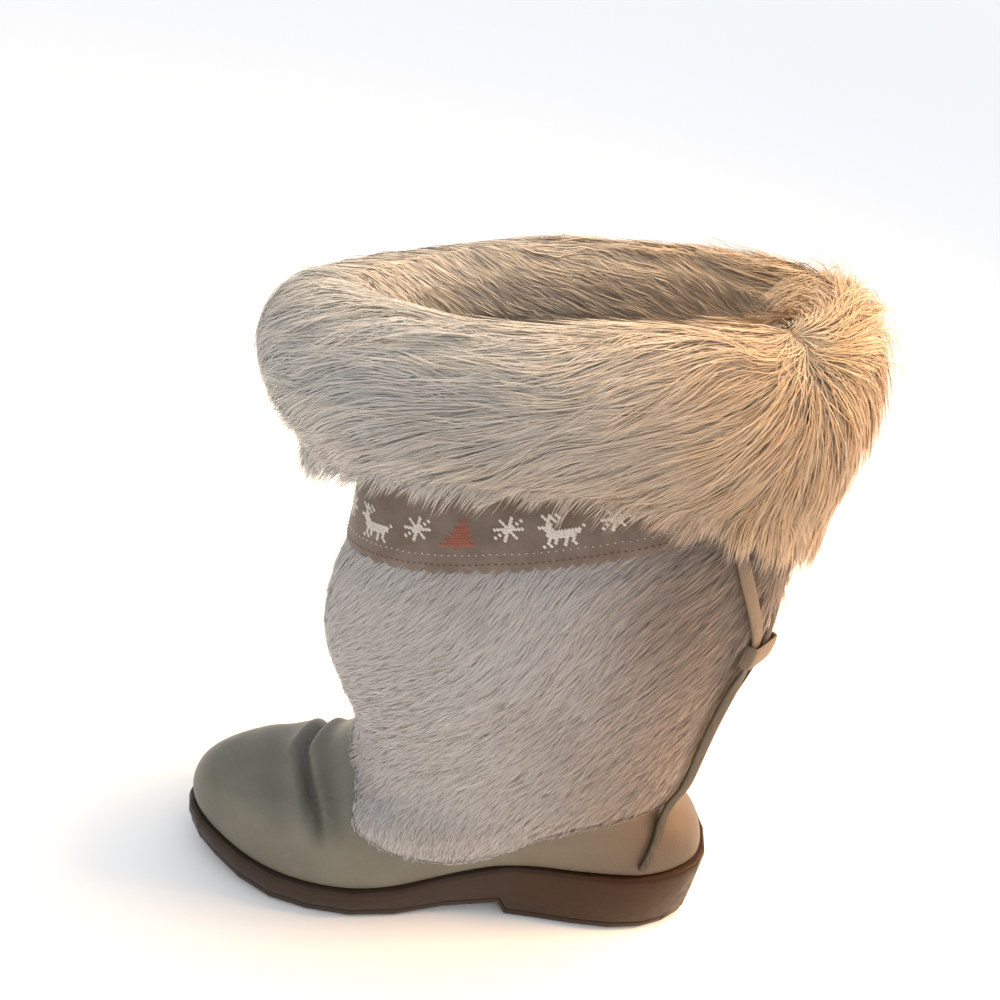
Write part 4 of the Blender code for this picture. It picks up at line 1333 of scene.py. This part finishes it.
@dataclass
class ShaftFur:
    """Short haired fur on the shaft, from the foot up to under the band."""

    hide: Hide = Hide(
        "short_fur_hide",
        light=(0.38, 0.35, 0.325),
        dark=(0.29, 0.255, 0.225),
        back=(0.21, 0.155, 0.115),
        turn=(0, 40, 0),
        back_from=0.0,
        back_to=110.0,
    )
    hair: Hair = Hair(
        "short_hair",
        root=(0.31, 0.285, 0.262),
        cool=(0.475, 0.465, 0.460),
        warm=(0.31, 0.235, 0.185),
        tip=(0.60, 0.58, 0.565),
        dark=(0.22, 0.165, 0.125),
        warm_from=-5.0,
        warm_to=100.0,
        contrast=0.40,
    )
    coats: tuple[Coat, ...] = (
        Coat("short_hair_low", strands=38000, seed=11, length=10.0, width=0.44, lift=1.1,
             locks=6000, gather=0.25, steps=3),
        Coat("short_hair_high", strands=38000, seed=12, length=12.5, width=0.34, lift=1.8,
             locks=5000, gather=0.38, steps=3),
    )
    middle_x: float = 22.0
    sink: float = 1.6
    way: tuple[float, float, float] = (-0.62, 0.0, -0.78)
    swirl: Waves = Waves(120.0, 2.0, 0.35)
    forward_below: Fade = Fade(Z, 95.0, -45.0, 0.35)
    under_band: Fade = Fade(Z, 266.0, 8.0)
    thong_room: float = 1.6
    thong_fade: float = 2.0
    on_thong: float = 0.04
    reaches: tuple[float, ...] = (0.0, 4.0, 8.0)
    plain_length: float = 0.9
    longer_above: Fade = Fade(Z, 120.0, 110.0, 0.45)
    shorter_below: Fade = Fade(Z, 95.0, -40.0, 0.4)
    ruff_length: float = 0.5
    plain_lift: float = 0.8
    lifted_above: Fade = Fade(Z, 150.0, 80.0, 0.5)
    ruff_lift: float = 2.6
    ruff_back: Fade = Fade(X, 106.0, 14.0)
    above_keeper: Fade = Fade(Z, 190.0, 18.0)
    brown_back: Fade = Fade(X, 30.0, 60.0, 0.55)
    brown_above: Fade = Fade(Z, 140.0, 90.0)
    cloud_field: Waves = Waves(70.0, 1.1)
    cloud_low: float = 0.15
    cloud_share: float = 0.14

    def build(self) -> None:
        """Makes the hide and its two coats of hair."""
        piece = copy_of_node("fur_shaft", "short_fur_hide")
        apply_modifier(piece, "SUBSURF", levels=1, render_levels=1)
        piece.data.materials.append(self.hide.material())
        piece.data.shade_smooth()
        outer = self.outside(read_points(piece), read_normals(piece))
        points = read_points(piece)
        write_points(piece, points - read_normals(piece) * (self.sink * outer)[:, None])
        skin = Skin(piece)
        self.thongs = surface_tree(bpy.data.objects[f"leather_{node}"] for node in ("thong_outer", "keeper"))
        finish_piece(piece, ["fur_shaft"])
        material = self.hair.material()
        maker = CoatMaker(skin, self.flow, self.growing, self.length, self.lift, self.patch)
        for coat in self.coats:
            finish_piece(maker.grow(coat, material))

    def outside(self, points: Rows, normals: Rows) -> Rows:
        """One where a point lies on the outside, else zero."""
        facing = normals[:, X] * (points[:, X] - self.middle_x) + normals[:, Y] * points[:, Y]
        return np.where(facing > 0, 1.0, 0.0)

    def growing(self, centres: Rows, normals: Rows) -> Rows:
        """Hair grows on the outside, and hardly where it would lie over a thong."""
        lying = self.flow(centres, normals)
        free = np.ones(len(centres))
        for reach in self.reaches:
            ahead = centres + lying * reach
            gaps = np.array([self.thongs.find_nearest(place)[3] for place in ahead.tolist()])
            clear = step(gaps, self.thong_room, self.thong_fade)
            free = np.minimum(free, self.on_thong + (1 - self.on_thong) * clear)
        return self.outside(centres, normals) * (1 - self.under_band(centres)) * free

    def flow(self, places: Rows, normals: Rows) -> Rows:
        """The hair lies down and forward."""
        way = np.tile(np.array(self.way), (len(places), 1))
        way[:, X] += self.swirl(places)
        way[:, X] += self.forward_below(places)
        return laid_down(way, normals)

    def length(self, places: Rows) -> Rows:
        """Longer up by the band, shorter towards the foot."""
        longer = self.plain_length + self.longer_above(places) + self.ruff_length * self.ruff(places)
        return longer * (1 - self.shorter_below(places))

    def lift(self, places: Rows) -> Rows:
        """Stands off more by the band, and most on the back above the keeper."""
        return self.plain_lift + self.lifted_above(places) + self.ruff_lift * self.ruff(places)

    def ruff(self, places: Rows) -> Rows:
        """One on the back above the keeper, where the fur is thick."""
        return self.ruff_back(places) * self.above_keeper(places)

    def patch(self, places: Rows) -> Rows:
        """Browner near the band at the back and in a few clouds."""
        back = self.brown_back(places) * self.brown_above(places) * (1 - self.ruff(places))
        clouds = self.cloud_share * self.cloud_field.clouds(places, self.cloud_low)
        return np.clip(back + clouds, 0, DARKEST_PATCH)


# The cuff's furry surface from inside the collar over the rim to its hanging
# edge: x and z at the front, x and z at the back, half breadth on the outer and
# the inner side, how much higher the sides lie than the front and back, and the
# share by which the inner side narrows to the front
CUFF_RINGS = (
    (-71.0, 288.0, 104.0, 306.0, 36.5, 44.0, 0.0, 0.0),
    (-64.0, 304.0, 95.0, 326.0, 33.0, 41.0, 0.0, 0.0),
    (-68.0, 317.5, 96.0, 343.0, 36.0, 45.0, 0.0, 0.0),
    (-84.0, 327.0, 106.0, 355.0, 47.0, 55.0, 0.0, 0.15),
    (-103.0, 325.0, 118.0, 353.0, 60.5, 62.0, 0.0, 0.35),
    (-116.0, 314.0, 127.0, 341.0, 69.5, 68.0, 0.0, 0.45),
    (-120.5, 298.0, 133.0, 322.0, 73.0, 71.0, 1.0, 0.45),
    (-117.0, 282.0, 136.0, 300.0, 72.5, 71.0, 5.0, 0.40),
    (-107.0, 268.0, 138.0, 276.0, 68.5, 68.5, 14.0, 0.30),
    (-97.0, 255.0, 136.0, 262.0, 63.5, 65.0, 24.0, 0.20),
)


@dataclass
class Cuff:
    """Deep fur cuff, turned down over the collar."""

    hide: Hide = Hide(
        "long_fur_hide",
        light=(0.40, 0.34, 0.27),
        dark=(0.27, 0.215, 0.16),
        back=(0.40, 0.26, 0.15),
        turn=(0, 60, 0),
        back_from=-60.0,
        back_to=80.0,
    )
    hair: Hair = Hair(
        "long_hair",
        root=(0.35, 0.285, 0.215),
        cool=(0.460, 0.454, 0.438),
        warm=(0.48, 0.33, 0.195),
        tip=(0.70, 0.65, 0.575),
        dark=(0.22, 0.16, 0.105),
        warm_from=-70.0,
        warm_to=100.0,
        contrast=0.48,
    )
    coats: tuple[Coat, ...] = (
        Coat("long_hair_under", strands=27000, seed=21, length=30.0, width=0.72, lift=3.4,
             locks=2600, gather=0.35),
        Coat("long_hair_middle", strands=27000, seed=22, length=42.0, width=0.50, lift=5.4,
             locks=1700, gather=0.5),
        Coat("long_hair_top", strands=27000, seed=23, length=48.0, width=0.38, lift=7.4,
             locks=1100, gather=0.5),
    )
    stations: int = 96
    rounding: float = 2.25
    sink: float = 2.2
    hide_thick: float = 3.0
    apron: float = 42.0
    apron_rows: int = 4

    hem_room: float = 0.5
    inner_middle: tuple[float, float] = (14.0, 4.0)
    inner_half: tuple[float, float] = (92.0, 49.0)
    inner_density: float = 0.8
    deep_below: float = 300.0
    deep_share: float = 0.4

    whorl: tuple[float, float, float] = (82.0, -38.0, 351.0)
    whorl_width: float = 42.0
    parting_foot: tuple[float, float, float] = (98.0, -60.0, 300.0)
    parting_width: float = 20.0
    parting_push: tuple[float, float] = (0.30, 1.0)
    top_z: float = 336.0
    furthest_drop: float = 1.6
    ahead_loss: float = 0.5
    ahead_drop: tuple[float, float] = (0.35, 0.8)
    least_fall: float = 0.20
    more_fall: float = 0.85
    fall_drop: tuple[float, float] = (0.15, 0.9)
    below_whorl: Fade = Fade(Z, 345.0, -16.0)
    over_back: Fade = Fade(X, 85.0, 35.0)
    back_push: float = 0.9
    down_push: float = 0.7
    inner_way: tuple[float, float, float] = (-0.8, 0.0, 0.35)
    turns: tuple[Waves, ...] = (Waves(75.0, 0.4, 0.26), Waves(31.0, 1.9, 0.16))

    inner_length: float = 0.42
    hem_zone: float = 34.0
    hem_loss: float = 0.52
    long_back: Fade = Fade(X, 70.0, 40.0, 0.22)

    plain_lift: float = 0.7
    inner_lift: float = 0.35
    whorl_lift: tuple[float, float] = (0.3, 34.0)
    crown: tuple[float, float, float] = (116.0, -14.0, 352.0)
    crown_shape: tuple[float, float, float] = (1.0, 2.0, 1.0)
    crown_lift: tuple[float, float] = (1.5, 20.0)
    flat: float = 0.45
    flat_back: tuple[Fade, Fade] = (Fade(X, 90.0, 30.0), Fade(Z, 335.0, -25.0))
    flat_front: tuple[Fade, Fade] = (Fade(Y, 5.0, 30.0), Fade(X, 40.0, -40.0))

    # Painted shade: darkens the hair inside the collar.
    collar_shade: float = 0.16
    cloud_field: Waves = Waves(90.0, 3.1)
    cloud_low: float = 0.2
    cloud_share: float = 0.10

    def ring(self, row: float) -> Rows:
        """Points of one ring of the cuff, from the toe over the outer side."""
        turn = np.arange(self.stations) * 2 * math.pi / self.stations
        values = [np.interp(row, range(len(CUFF_RINGS)), column) for column in zip(*CUFF_RINGS)]
        front_x, front_z, back_x, back_z, outer, inner, side_lift, narrow = values
        share = (1 - np.cos(turn)) / 2
        narrowed = inner * (1 - narrow * np.maximum(np.cos(turn), 0) ** 2)
        half = np.where(np.sin(turn) > 0, -outer, narrowed)
        fullness = np.abs(np.sin(turn)) ** (2 / self.rounding)
        x = front_x + (back_x - front_x) * share
        z = front_z + (back_z - front_z) * share + side_lift * np.sin(turn) ** 2
        return np.stack([x, half * fullness, z], axis=1)

    def sleeve(self, name: str, with_apron: bool) -> Piece:
        """Makes the cuff's furry surface as an open sleeve.

        Args:
            name: name of the new object.
            with_apron: adds the rows that hair follows past the hem.

        Returns:
            The new object.
        """
        rings = [self.ring(row) for row in np.arange(0, len(CUFF_RINGS) - 0.99, 0.5)]
        if with_apron:
            hem = rings[-1]
            for i in range(1, self.apron_rows + 1):
                rings.append(hem - np.array([0, 0, self.apron * i / self.apron_rows]))
        return new_piece(name, np.concatenate(rings), ring_faces(len(rings), self.stations))

    def build(self) -> None:
        """Makes the hide and the coats of long hair."""
        hide = self.sleeve("long_fur_hide", False)
        write_points(hide, read_points(hide) - read_normals(hide) * self.sink)
        apply_modifier(hide, "SOLIDIFY", thickness=self.hide_thick * MM, offset=-1.0)
        hide.data.materials.append(self.hide.material())
        hide.data.shade_smooth()
        finish_piece(hide, ["cuff"])

        guide = self.sleeve("hair_guide", True)
        skin = Skin(guide)
        bpy.data.objects.remove(guide)
        material = self.hair.material()
        maker = CoatMaker(skin, self.flow, self.growing, self.length, self.lift, self.patch)
        for coat in self.coats:
            finish_piece(maker.grow(coat, material))

    def growing(self, centres: Rows, normals: Rows) -> Rows:
        """Hair grows down to the hem, thinly inside the collar."""
        above_hem = np.where(centres[:, Z] > self.hem_height(centres) - self.hem_room, 1.0, 0.0)
        deep = np.where(centres[:, Z] < self.deep_below, self.deep_share, 1.0)
        return np.where(self.is_inside(centres), self.inner_density * deep, above_hem)

    def is_inside(self, places: Rows) -> Rows:
        """True where a place lies on the collar's inner side."""
        x, y = ((places[:, :Z] - np.array(self.inner_middle)) / np.array(self.inner_half)).T
        return (x * x + y * y) < 1.0

    def hem_height(self, places: Rows) -> Rows:
        """Height of the cuff's hanging edge at each place's bearing."""
        front_x, front_z, back_x, back_z, _, _, side_lift, _ = CUFF_RINGS[-1]
        share = np.clip((places[:, X] - front_x) / (back_x - front_x), 0, 1)
        sine = 1 - (1 - 2 * share) ** 2
        return front_z + (back_z - front_z) * share + side_lift * sine

    def from_parting(self, places: Rows) -> Rows:
        """The way to each place from the parting that runs down from the whorl."""
        top, foot = np.array(self.whorl), np.array(self.parting_foot)
        along = foot - top
        share = np.clip(((places - top) @ along) / (along @ along), 0, 1)
        return places - (top + share[:, None] * along)

    def flow(self, places: Rows, normals: Rows) -> Rows:
        """The hair parts at the whorl, lies forward and turns down to the hem."""
        away = self.from_parting(places)
        distance = np.linalg.norm(away, axis=1)
        drop = (self.top_z - places[:, Z]) / np.maximum(self.top_z - self.hem_height(places), 1)
        drop = np.clip(drop, 0, self.furthest_drop)
        forward = np.array([-1.0, 0.0, 0.0])
        down = np.array([0.0, 0.0, -1.0])
        near = bell(distance, self.whorl_width)
        ahead = (1 - near) * (1 - self.ahead_loss * step(drop, *self.ahead_drop))
        fall = self.least_fall + self.more_fall * step(drop, *self.fall_drop)
        low = self.below_whorl(places)
        least, more = self.parting_push
        way = away / (distance + self.parting_width)[:, None] * (least + more * near)[:, None]
        way += forward * ahead[:, None] + down * (fall * (1 - near) + self.down_push * low * near)[:, None]
        back = self.over_back(places)
        way -= forward * (self.back_push * back * (1 - near))[:, None]
        way += down * (self.down_push * back * low)[:, None]
        way[self.is_inside(places)] = np.array(self.inner_way)
        turn = sum(field(places) for field in self.turns)
        return laid_down(way + np.cross(normals, way) * turn[:, None], normals)

    def length(self, places: Rows) -> Rows:
        """Long on the outside, short inside the collar, shorter by the hem."""
        outside = np.where(self.is_inside(places), self.inner_length, 1.0)
        low = 1 - step(places[:, Z], self.hem_height(places), self.hem_zone)
        return outside * (1 - (self.hem_loss - self.long_back(places)) * low)

    def lift(self, places: Rows) -> Rows:
        """The hair stands up round the whorl and at the crown, and lies flat low at the back."""
        to_whorl = np.linalg.norm(places - np.array(self.whorl), axis=1)
        to_crown = np.linalg.norm((places - np.array(self.crown)) / np.array(self.crown_shape), axis=1)
        lifted = self.plain_lift
        for distance, (size, width) in ((to_whorl, self.whorl_lift), (to_crown, self.crown_lift)):
            lifted = lifted + size * bell(distance, width)
        lifted = np.where(self.is_inside(places), self.inner_lift, 1.0) * lifted
        for first, second in (self.flat_back, self.flat_front):
            lifted = lifted * (1 - self.flat * (first(places) * second(places)))
        return lifted

    def patch(self, places: Rows) -> Rows:
        """Painted shade inside the collar, and darker in a few clouds."""
        # Painted shade: the hair inside the collar is darker.
        inside = np.where(self.is_inside(places), self.collar_shade, 0.0)
        clouds = self.cloud_share * self.cloud_field.clouds(places, self.cloud_low)
        return np.clip(inside + clouds, 0, DARKEST_PATCH)


@dataclass
class Lamp:
    """One soft light."""

    name: str
    place: tuple[float, float, float]
    aim: tuple[float, float, float]
    size: float
    power: float
    colour: Colour


@dataclass
class Studio:
    """Pale floor, soft lights and the camera at the photo's viewing angle."""

    azimuth: float = -7.4
    elevation: float = 30.2
    roll: float = 12.1
    camera_place: tuple[float, float, float] = (-66.2, -432.8, 488.0)
    lens: float = 39.6
    sensor: float = 36.0
    floor_size: float = 90.0
    floor: Colour = (0.985, 0.975, 0.96)
    world: Colour = (0.93, 0.962, 1.0)
    world_power: float = 1.0
    lamps: tuple[Lamp, ...] = (
        Lamp("key", (860, 40, 600), (60, 0, 250), 300, 12.0, (1.0, 0.58, 0.26)),
        Lamp("top", (230, 40, 1100), (20, 20, 330), 350, 11.5, (1.0, 0.72, 0.43)),
    )

    def build(self) -> None:
        """Makes the floor, the light and the camera."""
        bpy.context.scene.view_settings.view_transform = "Standard"
        self.lay_floor()
        self.light_world()
        for lamp in self.lamps:
            self.hang(lamp)
        self.place_camera()

    def lay_floor(self) -> None:
        """Lays a large plain floor."""
        deselect_all()
        bpy.ops.mesh.primitive_plane_add(size=self.floor_size, location=(0, 0, 0))
        floor = bpy.context.object
        floor.name = "floor"
        sheet = NodeSheet("floor")
        sheet.set(Base_Color=(*self.floor, 1.0), Roughness=0.75, Specular_IOR_Level=0.2)
        floor.data.materials.append(sheet.material)

    def light_world(self) -> None:
        """Lights the scene softly from all round."""
        world = bpy.data.worlds.new("studio")
        world.use_nodes = True
        background = world.node_tree.nodes["Background"]
        background.inputs["Color"].default_value = (*self.world, 1.0)
        background.inputs["Strength"].default_value = self.world_power
        bpy.context.scene.world = world

    def hang(self, lamp: Lamp) -> None:
        """Hangs one square soft light."""
        data = bpy.data.lights.new(lamp.name, "AREA")
        data.shape = "SQUARE"
        data.size = lamp.size * MM
        data.energy = lamp.power
        data.color = lamp.colour
        light = bpy.data.objects.new(lamp.name, data)
        light.location = Vector(lamp.place) * MM
        aim = Vector(lamp.aim) * MM - light.location
        light.rotation_euler = aim.to_track_quat("-Z", "Y").to_euler()
        bpy.context.scene.collection.objects.link(light)

    def place_camera(self) -> None:
        """Places the camera as the photo was taken, with its roll."""
        azimuth, elevation, roll = (math.radians(a) for a in (self.azimuth, self.elevation, self.roll))
        back = Vector(
            (
                math.sin(azimuth) * math.cos(elevation),
                -math.cos(azimuth) * math.cos(elevation),
                math.sin(elevation),
            )
        )
        level = Vector((math.cos(azimuth), math.sin(azimuth), 0.0))
        rise = back.cross(level)
        right = level * math.cos(roll) + rise * math.sin(roll)
        up = rise * math.cos(roll) - level * math.sin(roll)
        data = bpy.data.cameras.new("camera")
        data.lens = self.lens
        data.sensor_width = self.sensor
        data.clip_start = 0.01
        data.clip_end = 50.0
        camera = bpy.data.objects.new("camera", data)
        turn = Matrix((right, up, back)).transposed()
        camera.matrix_world = Matrix.Translation(Vector(self.camera_place) * MM) @ turn.to_4x4()
        bpy.context.scene.collection.objects.link(camera)
        bpy.context.scene.camera = camera


def main() -> None:
    """Builds the studio and every sub-assembly of the boot."""
    logging.basicConfig(level=logging.INFO, format="%(name)s %(message)s")
    Studio().build()
    for part in (Sole(), Insole(), Foot(), Thongs(), Band(), ShaftFur(), Cuff()):
        part.build()
        log.info("built %s", type(part).__name__)


if __name__ == "__main__":
    main()
